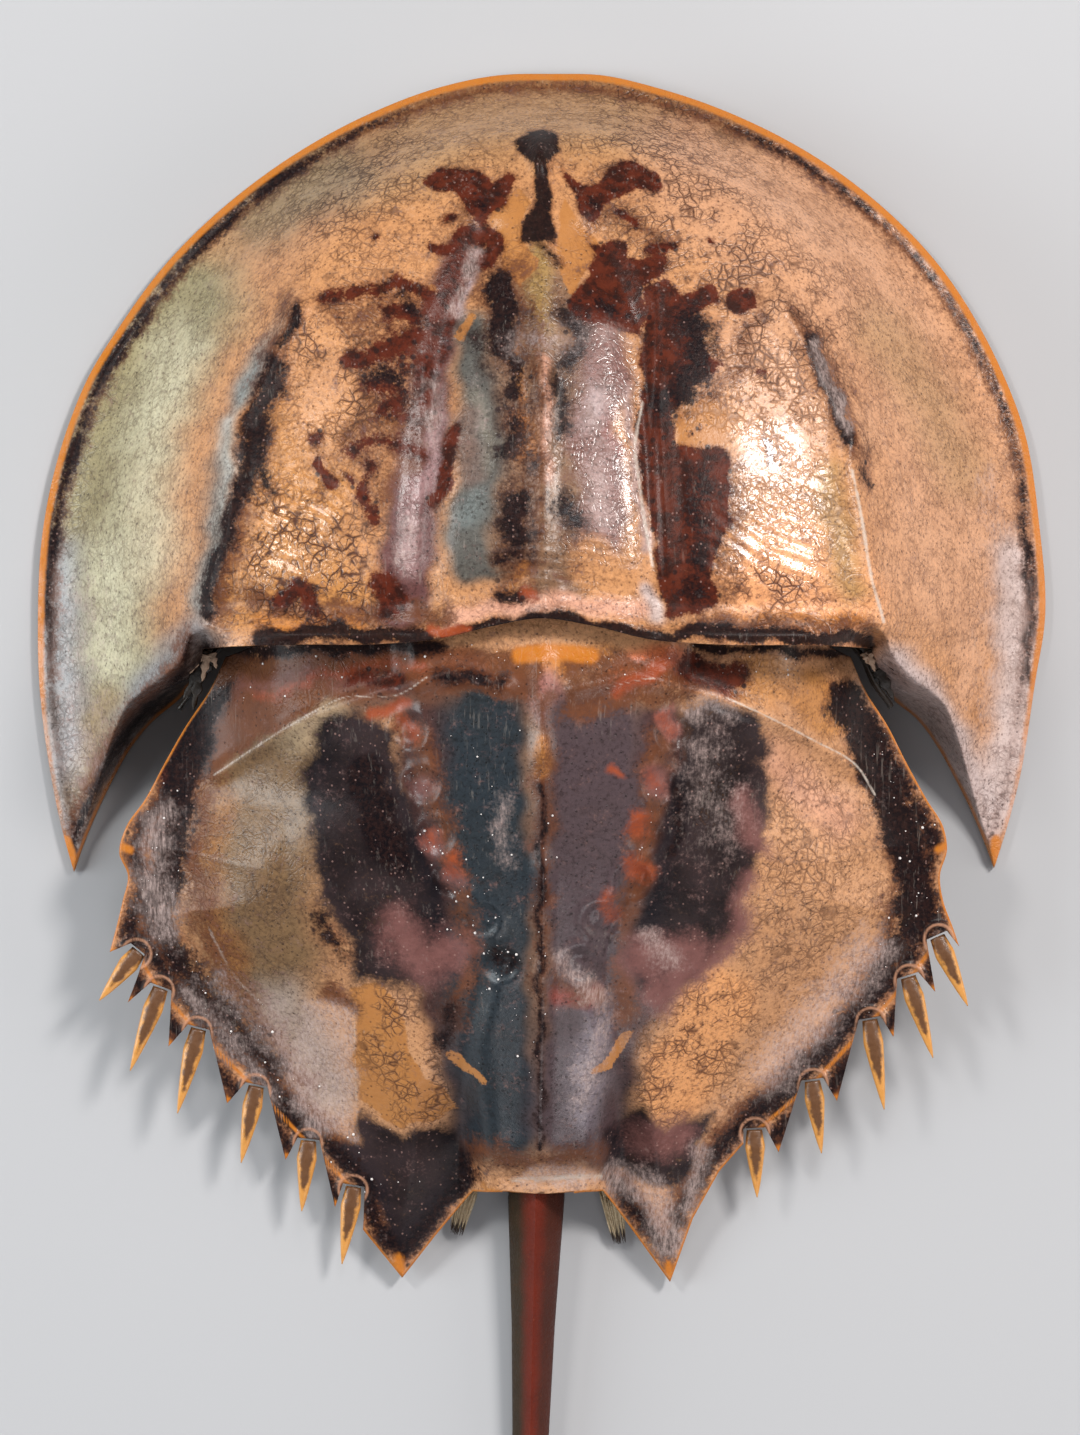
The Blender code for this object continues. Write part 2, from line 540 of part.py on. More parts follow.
def main():
    for item in list(bpy.data.objects):
        bpy.data.objects.remove(item)
    parts = bpy.data.collections.new("Horseshoe crab shell")
    cutters = bpy.data.collections.new("Cutters")
    bpy.context.scene.collection.children.link(parts)
    bpy.context.scene.collection.children.link(cutters)

    front_look = material("front chitin", SHELL_BROWN, 0.35)
    rear_look = material("rear chitin", SHELL_DARK, 0.38)
    spine_look = material("spine chitin", SPINE_ORANGE, 0.35)
    tail_look = material("tail chitin", SHELL_DARK, 0.4)
    strap_look = material("dried membrane", STRAP_BLACK, 0.5)
    tuft_look = material("bristles", BRISTLE_CREAM, 0.8)

    build_front(parts, cutters, front_look)
    build_rear(parts, cutters, rear_look)
    for side, notches, tips in (
        ("left", LEFT_NOTCHES, LEFT_SPINE_TIPS),
        ("right", RIGHT_NOTCHES, RIGHT_SPINE_TIPS),
    ):
        for number, (base, tip) in enumerate(zip(notches, tips), 1):
            build_side_spine(f"side_spine_{side}_{number}", base, tip, parts, spine_look)
    build_tail(parts, tail_look)
    build_strap(parts, strap_look)
    for side, root, tip in TUFTS:
        build_tuft(f"bristle_fringe_{side}", root, tip, parts, tuft_look)


main()
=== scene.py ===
"""Looks of a dried horseshoe crab shell: its two plates, spines, tail, hinge skin, bristles and salt grains."""

import math

import bmesh
import bpy
import numpy as np
from bpy.props import FloatProperty, FloatVectorProperty, IntProperty, PointerProperty
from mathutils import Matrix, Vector


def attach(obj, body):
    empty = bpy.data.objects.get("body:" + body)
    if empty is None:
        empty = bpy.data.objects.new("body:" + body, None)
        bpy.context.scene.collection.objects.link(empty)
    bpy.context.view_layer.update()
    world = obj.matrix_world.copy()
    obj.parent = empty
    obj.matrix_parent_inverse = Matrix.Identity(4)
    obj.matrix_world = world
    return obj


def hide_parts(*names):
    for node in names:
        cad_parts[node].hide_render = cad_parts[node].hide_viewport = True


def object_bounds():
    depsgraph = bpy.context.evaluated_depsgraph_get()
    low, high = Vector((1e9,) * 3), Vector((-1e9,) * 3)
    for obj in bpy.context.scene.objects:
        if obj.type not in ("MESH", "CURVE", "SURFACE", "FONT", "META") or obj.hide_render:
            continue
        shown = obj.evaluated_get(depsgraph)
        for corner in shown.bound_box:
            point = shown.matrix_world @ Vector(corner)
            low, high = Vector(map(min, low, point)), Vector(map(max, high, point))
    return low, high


bl_info = {
    "name": "Horseshoe crab shell",
    "version": (1, 0, 0),
    "blender": (4, 5, 0),
    "location": "3D View > Sidebar > Crab shell",
    "description": "Builds the looks of a dried horseshoe crab shell around its fixed frame",
    "category": "Object",
}

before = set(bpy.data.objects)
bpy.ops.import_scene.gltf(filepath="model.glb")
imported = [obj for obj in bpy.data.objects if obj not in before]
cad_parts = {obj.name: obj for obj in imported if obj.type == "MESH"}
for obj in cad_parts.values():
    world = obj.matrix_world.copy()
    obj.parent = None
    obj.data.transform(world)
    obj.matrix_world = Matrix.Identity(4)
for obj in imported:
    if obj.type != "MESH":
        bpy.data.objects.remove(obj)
CAD_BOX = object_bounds()

MM = 0.001

# The photograph looks straight down. Marks are placed by pixel in its frame of 1080 by 1435.
PIXEL_MM = 0.2088
CAMERA_HEIGHT = 1500.0
CAMERA_X, CAMERA_Y = -0.2, 88.6
MID_PX, MID_PY = 540.0, 717.5

# Front shell, in millimetres, as the fixed frame has it.
WALL = 1.8
RIM_THICK = 2.2
RIM_FLOOR = 1.8
RIM_INSET = 3.4
FLANGE_SLOPE = 0.45
SIDE_FLANGE, SIDE_SLOPE = 8.0, 1.6
BROW_FLANGE, BROW_SLOPE = 5.0, 2.7
CREST_SLOPE, CORNER_RISE = 4.0, 33.0
SHOULDER_X, SHOULDER_DROP = 65.0, 10.0
BLEND = 3.5
RIM = (
    (-97.4, 56.4), (-100.1, 66.2), (-102.2, 76.6), (-104.7, 97.5), (-104.9, 107.9), (-103.7, 128.8),
    (-98.5, 149.6), (-94.1, 160.1), (-87.6, 170.5), (-80.1, 180.9), (-60.1, 199.9), (-34.8, 214.9),
    (-21.1, 220.0), (-8.8, 222.5), (2.3, 222.8), (12.7, 222.5), (23.8, 220.0), (38.8, 214.9),
    (65.3, 199.9), (84.5, 180.9), (91.2, 170.5), (96.4, 160.1), (100.4, 149.6), (103.9, 128.8),
    (105.0, 107.9), (103.3, 97.5), (99.5, 74.5), (97.0, 65.1), (94.5, 57.2),
)
LEFT_INNER = (
    (-69.0, 102.7), (-70.0, 98.8), (-74.2, 93.6), (-81.8, 87.0), (-85.8, 81.9), (-88.8, 76.6),
    (-91.6, 71.0), (-94.4, 64.6), (-97.4, 56.4),
)
RIGHT_INNER = (
    (67.4, 102.7), (69.4, 98.4), (72.4, 93.4), (78.5, 88.2), (83.1, 81.9), (86.0, 76.6),
    (88.8, 71.2), (91.6, 64.8), (94.5, 57.2),
)
HINGE = (
    (-69.0, 102.7), (-48.8, 103.2), (-32.3, 103.3), (-19.6, 104.5), (-10.0, 106.8), (0.0, 108.4),
    (10.0, 107.0), (22.0, 104.2), (35.5, 103.2), (52.4, 103.1), (67.4, 102.7),
)
CROWN = (
    (95.0, 66.0), (104.0, 66.0), (120.0, 64.5), (140.0, 60.0), (165.0, 53.0), (188.0, 43.0),
    (205.0, 32.0), (215.0, 27.0), (228.0, 20.0),
)
LEFT_EYE_RIDGE = (
    (-49.2, 172.1), (-54.9, 161.0), (-62.0, 147.8), (-63.0, 136.7), (-64.0, 124.6), (-68.3, 108.4),
)
RIGHT_EYE_RIDGE = (
    (48.6, 172.6), (56.5, 159.0), (61.6, 148.4), (62.6, 137.3), (65.6, 124.6), (68.8, 108.4),
)
LEFT_LOBE_GROOVE = ((-11.0, 186.0), (-18.0, 168.0), (-22.5, 143.0), (-24.5, 108.0))
RIGHT_LOBE_GROOVE = ((11.0, 186.0), (18.0, 168.0), (22.5, 143.0), (24.5, 108.0))
MOUTH_FRONT, MOUTH_SIDE, MOUTH_REAR = 30.0, 13.0, 112.0
MOUTH_ENDS = ((62.0, 90.0), (-63.5, 90.0))
CORNER_INSET, HINGE_INSET = 2.6, 9.0
DOORWAY = ((-68.4, 94.0), (-68.4, 109.0), (66.8, 109.0), (66.8, 94.0))
DOOR_TOP = 31.0
CUT_FLOOR = -3.0

# Rear shell, tail and spines.
EDGE_THICK = 2.5
LOW_FRONT, LOW_REAR = (100.0, 26.0), (-15.0, 4.6)
REAR_WALL = 1.8
REAR_FLANGE, REAR_FLANGE_SLOPE, REAR_SLOPE = 12.0, 0.25, 0.95
FRONT_FLANGE, FRONT_SLOPE = 3.0, 2.0
TUCK = 3.4
SPINE_RIDGE = (
    (-40.0, 12.0), (-12.0, 21.0), (0.0, 27.0), (30.0, 41.0), (60.0, 53.0), (80.0, 58.0), (100.0, 60.0),
    (112.0, 59.0),
)
LOBE_WIDTH = ((-15.0, 13.0), (20.0, 14.0), (40.0, 11.0), (60.0, 20.0), (92.0, 27.0), (110.0, 29.0))
LEFT_SIDE = (
    (-64.6, 101.0), (-67.4, 95.0), (-73.0, 86.6), (-77.2, 79.4), (-81.5, 71.6), (-85.4, 66.0),
    (-86.8, 60.6), (-85.1, 56.1), (-86.2, 50.9), (-87.5, 45.7), (-89.0, 40.2),
)
RIGHT_SIDE = (
    (63.4, 101.0), (66.0, 95.0), (71.4, 86.4), (74.8, 79.8), (79.4, 71.6), (82.8, 66.0),
    (83.6, 61.6), (82.2, 56.1), (82.9, 50.9), (84.8, 45.7), (86.3, 41.4),
)
LEFT_POINTS = ((-89.0, 40.2), (-85.3, 29.8), (-77.0, 20.6), (-65.0, 8.7), (-53.0, -3.2), (-42.8, -13.2))
RIGHT_POINTS = ((86.3, 41.4), (81.4, 32.0), (72.9, 22.6), (61.3, 9.2), (49.3, -1.6))
LEFT_NOTCHES = ((-83.4, 39.9), (-78.8, 32.2), (-71.0, 23.7), (-59.1, 11.7), (-48.3, 0.3), (-39.0, -9.4))
RIGHT_NOTCHES = ((82.0, 42.9), (76.0, 34.5), (68.1, 25.6), (56.3, 12.8), (44.3, 2.6))
LEFT_SPINE_TIPS = ((-91.3, 30.1), (-85.0, 15.5), (-75.3, 6.6), (-62.2, -3.8), (-49.7, -14.0), (-41.4, -25.1))
RIGHT_SPINE_TIPS = ((88.2, 29.0), (81.1, 18.2), (71.1, 7.4), (58.2, -1.8), (44.9, -11.1))
TAIL_EDGE = (
    (-37.0, -18.0), (-28.9, -28.1), (-22.0, -19.2), (-14.1, -9.6), (-8.4, -9.4), (0.0, -10.4),
    (9.1, -9.4), (12.8, -9.4), (18.6, -17.4), (26.9, -29.0), (31.6, -15.5), (37.0, -5.6), (42.0, 0.2),
)
PITS = ((26.4, 86.0), (23.8, 75.0), (20.8, 64.6), (18.5, 55.6), (12.0, 47.6), (8.0, 38.5))
ARC_RIDGE = ((7.0, 94.4), (18.5, 97.2), (32.0, 93.6), (46.0, 89.0), (55.0, 84.2), (66.0, 77.4))
TAIL_ROOT, TAIL_TIP = (-0.6, 4.0), (-6.0, -222.5)
TAIL_WIDTH = ((-222.5, 0.8), (-160.0, 3.6), (-100.0, 6.0), (-59.0, 7.7), (-38.0, 9.0), (-12.0, 11.7), (4.0, 12.0))
TAIL_HEIGHT_SHARE = 0.82
TAIL_BASE = ((-222.5, 0.1), (-150.0, 0.9), (-60.0, 3.0), (4.0, 5.2))
ARCH_LIFT, ARCH_INNER, ARCH_OUTER = 11.0, 8.5, 17.0
TUNNEL_HALF, TUNNEL_TOP, TUNNEL_RUN = 7.4, 16.4, (-16.0, 8.0)
# Where the rear hollow starts and how far it runs, as shares of the plan, and its depth under the edge.
HOLLOW_ACROSS, HOLLOW_ALONG, HOLLOW_NARROW, HOLLOW_DEPTH = (0.06, 0.88), (0.03, 0.87), 0.97, 6.0
SPINE_WIDTH, SPINE_THICK, SPINE_DROOP, SPINE_LIFT = 4.4, 2.4, 1.6, 1.5
SOCKET_HALF, SOCKET_DEPTH, SOCKET_PLAY = 2.3, 0.9, 0.45
STRAP_THICK, STRAP_TALL = 1.2, 7.0
STRAP_LOW, STRAP_ARCH, STRAP_DROP, STRAP_HALF = 29.8, 24.0, 8.0, 63.0
STRAP_LEFT = ((-74.6, 90.2), (-70.7, 95.4), (-67.4, 100.8), (-62.0, 107.0))
STRAP_RIGHT = ((60.4, 107.0), (65.8, 100.8), (68.6, 95.6), (72.0, 90.6))
# Two ribbons of skin: how much lower the top lies, how tall and thick it is, and how wavy.
RIBBONS = ((0.0, STRAP_TALL, STRAP_THICK, 0.35), (-1.2, 2.2, 1.0, 0.7))
# Strips as root, tip and half width.
SKIN_SHREDS = (
    ((-68.6, 100.0, 28.0), (-73.6, 92.2, 25.0), 1.5), ((-70.0, 98.0, 27.0), (-71.4, 90.0, 25.4), 1.2),
    ((69.0, 98.5, 27.0), (72.6, 92.0, 25.0), 1.3),
)
PALE_SHREDS = (
    ((-68.2, 101.4, 31.0), (-69.4, 96.0, 29.0), 0.9), ((-67.2, 101.8, 31.4), (-66.4, 98.6, 31.0), 0.7),
    ((-69.6, 101.0, 30.6), (-72.0, 97.6, 28.6), 0.6), ((67.0, 101.6, 31.2), (68.4, 98.0, 29.6), 0.8),
    ((66.0, 101.8, 31.4), (66.8, 99.6, 31.0), 0.6),
)
TUFT_WIDTH = 5.6
BRISTLE_ROOT, BRISTLE_TIP = 0.22, 0.03
GRAIN_RADIUS = 0.16
PRESSED_FROM = 60.0
PAINTED_DEPTH, PAINTED_SOFT = 1.6, 0.9
SCRATCH_ANGLE = 0.12
FLOOR_HALF, FLOOR_GAP = 4.0, 0.3
TUFTS = (("left", (-14.2, -4.0, 4.4), (-17.8, -19.4, 2.2)), ("right", (13.6, -4.0, 4.4), (16.4, -21.4, 2.0)))


def along(table, at):
    """A smooth curve through a short table of (place, value) pairs."""
    place, value = np.array(table, float).T
    slope = np.gradient(value, place)
    at = np.clip(at, place[0], place[-1])
    i = np.clip(np.searchsorted(place, at) - 1, 0, len(place) - 2)
    step = place[i + 1] - place[i]
    f = (at - place[i]) / step
    rise = (3 - 2 * f) * f * f
    bend = f * (1 - f) * step * ((1 - f) * slope[i] - f * slope[i + 1])
    return value[i] * (1 - rise) + value[i + 1] * rise + bend


def through(points, shares):
    """Places on the smooth curve through some points, each at a share of the curve's length."""
    points = np.array(points, float)
    run = np.concatenate([[0], np.cumsum(np.hypot(*np.diff(points, axis=0).T))])
    return np.stack([along(np.column_stack([run, points[:, k]]), shares * run[-1]) for k in (0, 1)])


def outline(points, count=120):
    return through(points, np.linspace(0, 1, count)).T


def distance(x, y, line):
    """How far each place is from a line of straight runs."""
    best = np.full(np.shape(x), 1e9)
    for (ax, ay), (bx, by) in zip(line[:-1], line[1:]):
        dx, dy = bx - ax, by - ay
        f = np.clip(((x - ax) * dx + (y - ay) * dy) / (dx * dx + dy * dy + 1e-12), 0, 1)
        best = np.minimum(best, np.hypot(x - ax - f * dx, y - ay - f * dy))
    return best


def lower(a, b, blend=BLEND):
    """The lower of two heights, with a soft change from one to the other."""
    return np.minimum(a, b) - blend * np.log1p(np.exp(-np.abs(a - b) / blend))


def step_up(value, start, end):
    f = np.clip((value - start) / (end - start), 0, 1)
    return f * f * (3 - 2 * f)


def bead(x, y, line, width, height):
    return height * np.exp(-((distance(x, y, line) / width) ** 2))


def knob(x, y, centre, size, height):
    return height * np.exp(-(((x - centre[0]) / size[0]) ** 2) - ((y - centre[1]) / size[1]) ** 2)


RIM_LINE = outline(RIM)
LEFT_INNER_LINE = outline(LEFT_INNER, 40)
RIGHT_INNER_LINE = outline(RIGHT_INNER, 40)


def front_height(x, y):
    """Outer surface of the front shell over the table."""
    out = distance(x, y, RIM_LINE)
    brow = step_up(y, 150, 208)
    flange = SIDE_FLANGE + (BROW_FLANGE - SIDE_FLANGE) * brow
    slope = SIDE_SLOPE + (BROW_SLOPE - SIDE_SLOPE) * brow
    steep = np.logaddexp(0, (out - flange) / 1.4) * 1.4
    side = RIM_THICK + FLANGE_SLOPE * out + (slope - FLANGE_SLOPE) * steep
    crown = along(CROWN, y) - SHOULDER_DROP * (np.abs(x) / SHOULDER_X) ** 2.4
    z = lower(side, crown)
    corner = CORNER_RISE * step_up(y, 90, 103)
    for line in (LEFT_INNER_LINE, RIGHT_INNER_LINE):
        z = lower(z, RIM_THICK + corner + CREST_SLOPE * distance(x, y, line), 0.9)
    inside = step_up(out, 8, 20)
    for line in (LEFT_EYE_RIDGE, RIGHT_EYE_RIDGE):
        z += bead(x, y, line, 3.0, 2.2) * inside
    for centre in ((-64.0, 144.2), (64.4, 145.6)):
        z += knob(x, y, centre, (2.6, 5.4), 2.4)
    for line in (LEFT_LOBE_GROOVE, RIGHT_LOBE_GROOVE):
        z -= bead(x, y, line, 4.2, 2.6)
    z += bead(x, y, ((0.0, 206.0), (0.3, 150.0), (0.5, 108.0)), 2.4, 1.2)
    z += knob(x, y, (-0.3, 203.0), (2.2, 4.0), 2.6) + knob(x, y, (0.3, 156.0), (2.2, 4.0), 1.4)
    z += knob(x, y, (0.5, 113.0), (2.4, 3.4), 1.6)
    z -= bead(x, y, outline(HINGE, 30) + np.array([0.0, 8.0]), 3.4, 1.5)
    return z


def front_fine(x, y):
    """The outer surface with its small folds: keels of the lobe, wrinkles before the hinge and the hinge lip."""
    z = front_height(x, y) - 0.15
    out = distance(x, y, RIM_LINE)
    z += 0.5 * np.exp(-((out - 1.6) / 1.2) ** 2)
    fold = np.sin(y * 2.9 + 0.9 * np.sin(x * 0.5) + 0.05 * x * x / 4.0)
    lobe = np.exp(-((np.abs(x - 4.0) / 15.0) ** 4)) * step_up(-y, -128, -121) * step_up(y, 109, 113)
    z += 0.16 * fold * lobe
    fold_side = np.sin((x * 0.55 + y) * 1.9 + np.sin(x * 0.31) * 1.2)
    for side in (-1, 1):
        patch = np.exp(-(((side * x - 47.0) / 15.0) ** 4)) * np.exp(-(((y - 124.0) / 15.0) ** 4))
        z += 0.10 * fold_side * patch
    z += bead(x, y, ((23.8, 183.0), (22.4, 150.0), (23.6, 118.0)), 0.9, 0.5)
    z += bead(x, y, ((-23.8, 160.0), (-22.4, 140.0), (-23.4, 112.0)), 1.1, 0.35)
    z += bead(x, y, outline(HINGE, 40) + np.array([0.0, 1.8]), 1.3, 0.7) * step_up(-np.abs(x), -60, -50)
    return z


def low_edge(y):
    """The plane that the rear shell's lower edge lies in."""
    (y1, z1), (y2, z2) = LOW_FRONT, LOW_REAR
    return z1 + (y - y1) * (z2 - z1) / (y2 - y1)


REAR_LINE = np.concatenate([outline(LEFT_SIDE, 40), np.array(LEFT_NOTCHES), np.array(TAIL_EDGE),
                            np.array(RIGHT_NOTCHES)[::-1], outline(RIGHT_SIDE, 40)[::-1]])


def rear_height(x, y):
    """Outer surface of the rear shell over the table."""
    out = distance(x, y, REAR_LINE)
    shoulder = step_up(y, 70, 98)
    flange = REAR_FLANGE - (REAR_FLANGE - FRONT_FLANGE) * shoulder
    slope = REAR_SLOPE + (FRONT_SLOPE - REAR_SLOPE) * shoulder
    steep = np.logaddexp(0, (out - flange) / 2.0) * 2.0
    side = low_edge(y) + EDGE_THICK + REAR_FLANGE_SLOPE * out + (slope - REAR_FLANGE_SLOPE) * steep
    off = np.abs(x)
    lobe = along(LOBE_WIDTH, y)
    side += ARCH_LIFT * (1 - step_up(off, ARCH_INNER, ARCH_OUTER)) * (1 - step_up(y, -6, 34))
    crown = along(SPINE_RIDGE, y) - 4.0 - 9.0 * (np.minimum(off, 52.0) / 50.0) ** 2
    z = lower(side, crown, 3.0)
    deep = step_up(out, 2, 12)
    z += 3.6 * (1 - step_up(off, lobe - 3.0, lobe + 2.5)) * deep
    z += bead(x, y, ((0.0, 100.0), (0.4, 40.0), (-0.6, -8.0)), 2.2, 1.3) * deep
    for y_knob in (82.0, 58.0, 36.0):
        z += knob(x, y, (0.4, y_knob), (1.9, 3.2), 1.3)
    for side_x in (-1, 1):
        arc = [(side_x * px, py) for px, py in ARC_RIDGE]
        z += bead(x, y, arc, 2.0, 1.5) * deep
        for px, py in PITS:
            z -= knob(x, y, (side_x * px, py), (2.6, 2.6), 1.9)
    return z


def rear_fine(x, y):
    """The outer surface with small bosses in the pits, raised socket arches and a sharp keel."""
    z = rear_height(x, y) - 0.1
    for side_x in (-1, 1):
        for px, py in PITS:
            z += knob(x, y, (side_x * px, py), (1.5, 1.5), 1.5)
            ring = np.hypot(x - side_x * px, y - py)
            z += 0.45 * np.exp(-(((ring - 4.0) / 0.9) ** 2))
    for px, py in LEFT_NOTCHES + RIGHT_NOTCHES:
        z += 0.7 * np.exp(-(((np.hypot(x - px, y - py) - 3.1) / 0.7) ** 2))
    z += bead(x, y, ((0.4, 92.0), (0.4, 40.0), (-0.6, -6.0)), 0.8, 0.45)
    return z


def under_wall(height, x, y, wall, reach=2.0):
    """The inner surface: a wall below the lowest outer height close by."""
    near = [height(x + dx, y + dy) for dx, dy in ((0, 0), (reach, 0), (-reach, 0), (0, reach), (0, -reach))]
    return np.minimum.reduce(near) - wall


def linked(name, data):
    """A new object in the scene."""
    made = bpy.data.objects.new(name, data)
    bpy.context.scene.collection.objects.link(made)
    return made


def new_mesh_object(name, bm):
    bmesh.ops.recalc_face_normals(bm, faces=bm.faces)
    if bm.calc_volume(signed=True) < 0:
        bmesh.ops.reverse_faces(bm, faces=bm.faces)
    mesh = bpy.data.meshes.new(name)
    bm.to_mesh(mesh)
    bm.free()
    return linked(name, mesh)


def slab(name, columns, rows, plan, top, bottom, plain_base=False):
    """A closed body between two heights, over a plan that bends a square grid."""
    bm = bmesh.new()
    bmesh.ops.create_grid(bm, x_segments=columns, y_segments=rows, size=1.0)
    raised = bmesh.ops.extrude_face_region(bm, geom=bm.faces[:])
    for item in raised["geom"]:
        if isinstance(item, bmesh.types.BMVert):
            item.co.z = 1.0
    place = np.array([v.co[:] for v in bm.verts])
    x, y = plan((place[:, 0] + 1) / 2, (place[:, 1] + 1) / 2)
    z = np.where(place[:, 2] > 0.5, top(x, y), bottom(x, y))
    for vert, where in zip(bm.verts, np.column_stack([x, y, z]) * MM):
        vert.co = where
    low = {v for v, up in zip(bm.verts, place[:, 2]) if up < 0.5}
    bmesh.ops.remove_doubles(bm, verts=bm.verts, dist=1e-7)
    if plain_base:
        base = [f for f in bm.faces if all(v in low for v in f.verts)]
        bmesh.ops.delete(bm, geom=base, context="FACES")
        bmesh.ops.holes_fill(bm, edges=[e for e in bm.edges if e.is_boundary], sides=0)
    return new_mesh_object(name, bm)


def prism(name, points, low, high):
    bm = bmesh.new()
    face = bm.faces.new([bm.verts.new((x * MM, y * MM, low * MM)) for x, y in points])
    up = bmesh.ops.extrude_face_region(bm, geom=[face])
    moved = [v for v in up["geom"] if isinstance(v, bmesh.types.BMVert)]
    bmesh.ops.translate(bm, vec=(0, 0, (high - low) * MM), verts=moved)
    return new_mesh_object(name, bm)


def add_tube(bm, around, lengths, place):
    """Adds a closed body wrapped round a line: place(angle, share) gives each point, and both ends are capped."""
    piece = bmesh.new()
    bmesh.ops.create_grid(piece, x_segments=around, y_segments=lengths, size=1.0)
    for vert in piece.verts:
        vert.co = Vector(place(math.pi * (vert.co.x + 1), (vert.co.y + 1) / 2)) * MM
    bmesh.ops.remove_doubles(piece, verts=piece.verts, dist=1e-7)
    bmesh.ops.holes_fill(piece, edges=[e for e in piece.edges if e.is_boundary], sides=around)
    mesh = bpy.data.meshes.new("tube")
    piece.to_mesh(mesh)
    piece.free()
    bm.from_mesh(mesh)
    bpy.data.meshes.remove(mesh)


def baked(made, cutters=()):
    """The object with its cuts and nodes made real as one plain mesh, and the cutters removed."""
    for cutter in cutters:
        boolean = made.modifiers.new(cutter.name, "BOOLEAN")
        boolean.operation = "DIFFERENCE"
        boolean.solver = "EXACT"
        boolean.object = cutter
    graph = bpy.context.evaluated_depsgraph_get()
    mesh = bpy.data.meshes.new_from_object(made.evaluated_get(graph))
    made.modifiers.clear()
    made.data = mesh
    for cutter in cutters:
        bpy.data.objects.remove(cutter)
    return made


def inset(points, amount):
    """A closed-in copy of an open outline, moved to its right-hand side."""
    points = np.array(points, float)
    ahead = np.gradient(points, axis=0)
    side = np.column_stack([ahead[:, 1], -ahead[:, 0]]) / np.hypot(*ahead.T)[:, None]
    return points + side * np.broadcast_to(amount, len(points))[:, None]


def front_plan(rim, inner_left, inner_right, hinge):
    """Bends the square grid to the horseshoe: u runs round the rim, v from the rim to the inner edge."""
    def plan(u, v):
        far = through(rim, u)
        corner = 0.13
        left = through(inner_left[::-1], np.clip(u / corner, 0, 1))
        right = through(inner_right, np.clip((u - 1 + corner) / corner, 0, 1))
        middle = through(hinge, np.clip((u - corner) / (1 - 2 * corner), 0, 1))
        near = np.where(u < corner, left, np.where(u > 1 - corner, right, middle))
        share = 1 - (1 - v) ** 1.35
        share = np.where(v > 0, 0.18 * v + 0.82 * share * v ** 0.35, 0.0)
        return far + (near - far) * share
    return plan


def socket(base, tip):
    """The two inner corners of the open socket that a loose spine sits in, front one first."""
    base, tip = np.array(base), np.array(tip)
    ahead = (tip - base) / np.hypot(*(tip - base))
    side = np.array([-ahead[1], ahead[0]]) * SOCKET_HALF
    floor = base - ahead * SOCKET_DEPTH
    return sorted([tuple(floor + side), tuple(floor - side)], key=lambda place: -place[1])


def rear_edge(points, bases, tips):
    """The fixed side points with the sockets between them, as one zigzag."""
    places = []
    for point, base, tip in zip(points, bases, tips):
        places += [point, *socket(base, tip)]
    return places


def rear_plan():
    """Bends the square grid to the rear plate: u runs from left to right, v from the hinge to the tail edge."""
    order = np.array(rear_edge(LEFT_POINTS, LEFT_NOTCHES, LEFT_SPINE_TIPS) + list(TAIL_EDGE)
                     + rear_edge(RIGHT_POINTS, RIGHT_NOTCHES, RIGHT_SPINE_TIPS)[::-1])
    share_of = np.linspace(0, 1, len(order))
    front = np.array(HINGE) + (0.0, TUCK)
    front[:, 0] *= 0.955
    front[0], front[-1] = LEFT_SIDE[0], RIGHT_SIDE[0]

    def plan(u, v):
        zigzag = np.stack([np.interp(u, share_of, order[:, k]) for k in (0, 1)])
        reach = np.minimum(0.05, np.minimum(u, 1 - u))
        soft = sum(np.stack([np.interp(u + d * reach, share_of, order[:, k]) for k in (0, 1)])
                   for d in (-1, -0.5, 0, 0.5, 1)) / 5
        far = soft + (zigzag - soft) * v ** 5
        near = through(front, u)
        a, b = through(LEFT_SIDE, v), through(RIGHT_SIDE, v)
        flat = near * (1 - v) + far * v
        left_end = np.array(LEFT_SIDE[0])[:, None] * (1 - v) + np.array(LEFT_SIDE[-1])[:, None] * v
        right_end = np.array(RIGHT_SIDE[0])[:, None] * (1 - v) + np.array(RIGHT_SIDE[-1])[:, None] * v
        return flat + (a - left_end) * (1 - u) + (b - right_end) * u

    return plan, len(order) - 1


# Marks, in pixels of the photograph. A tint is (colour, radius, softness, strength, places). A mark is
# (radius, softness, strength, places), or an area with no radius: (None, softness, strength, corners).
TAN = (0.50, 0.235, 0.10)
SAND = (0.38, 0.21, 0.095)
SAGE = (0.27, 0.225, 0.12)
CREAM = (0.60, 0.56, 0.39)
TEAL = (0.10, 0.13, 0.135)
ROSE_TAN = (0.54, 0.28, 0.155)
ORANGE_TAN = (0.46, 0.20, 0.06)
OCHRE = (0.46, 0.17, 0.035)
OLIVE = (0.30, 0.18, 0.06)
LOBE_GREY = (0.085, 0.08, 0.07)
ASH = (0.20, 0.18, 0.14)
BRONZE = (0.19, 0.105, 0.06)
PLUM = (0.12, 0.048, 0.045)
# A painted highlight down the middle of the plum band.
PLUM_HIGHLIGHT = (0.30, 0.17, 0.17)
# A blue-grey that is partly a painted sheen.
SLATE = (0.22, 0.22, 0.23)
LILAC = (0.48, 0.38, 0.36)
RUST = (0.52, 0.13, 0.045)
BRICK = (0.22, 0.05, 0.035)
BROWN = (0.055, 0.022, 0.018)
AXIS_BLUE = (0.019, 0.025, 0.031)
AXIS_PLUM = (0.066, 0.043, 0.047)
REAR_TAN = (0.50, 0.25, 0.12)
REAR_KHAKI = (0.155, 0.09, 0.042)
PEACH = (0.62, 0.32, 0.22)
UNDERSIDE = (0.30, 0.17, 0.085)

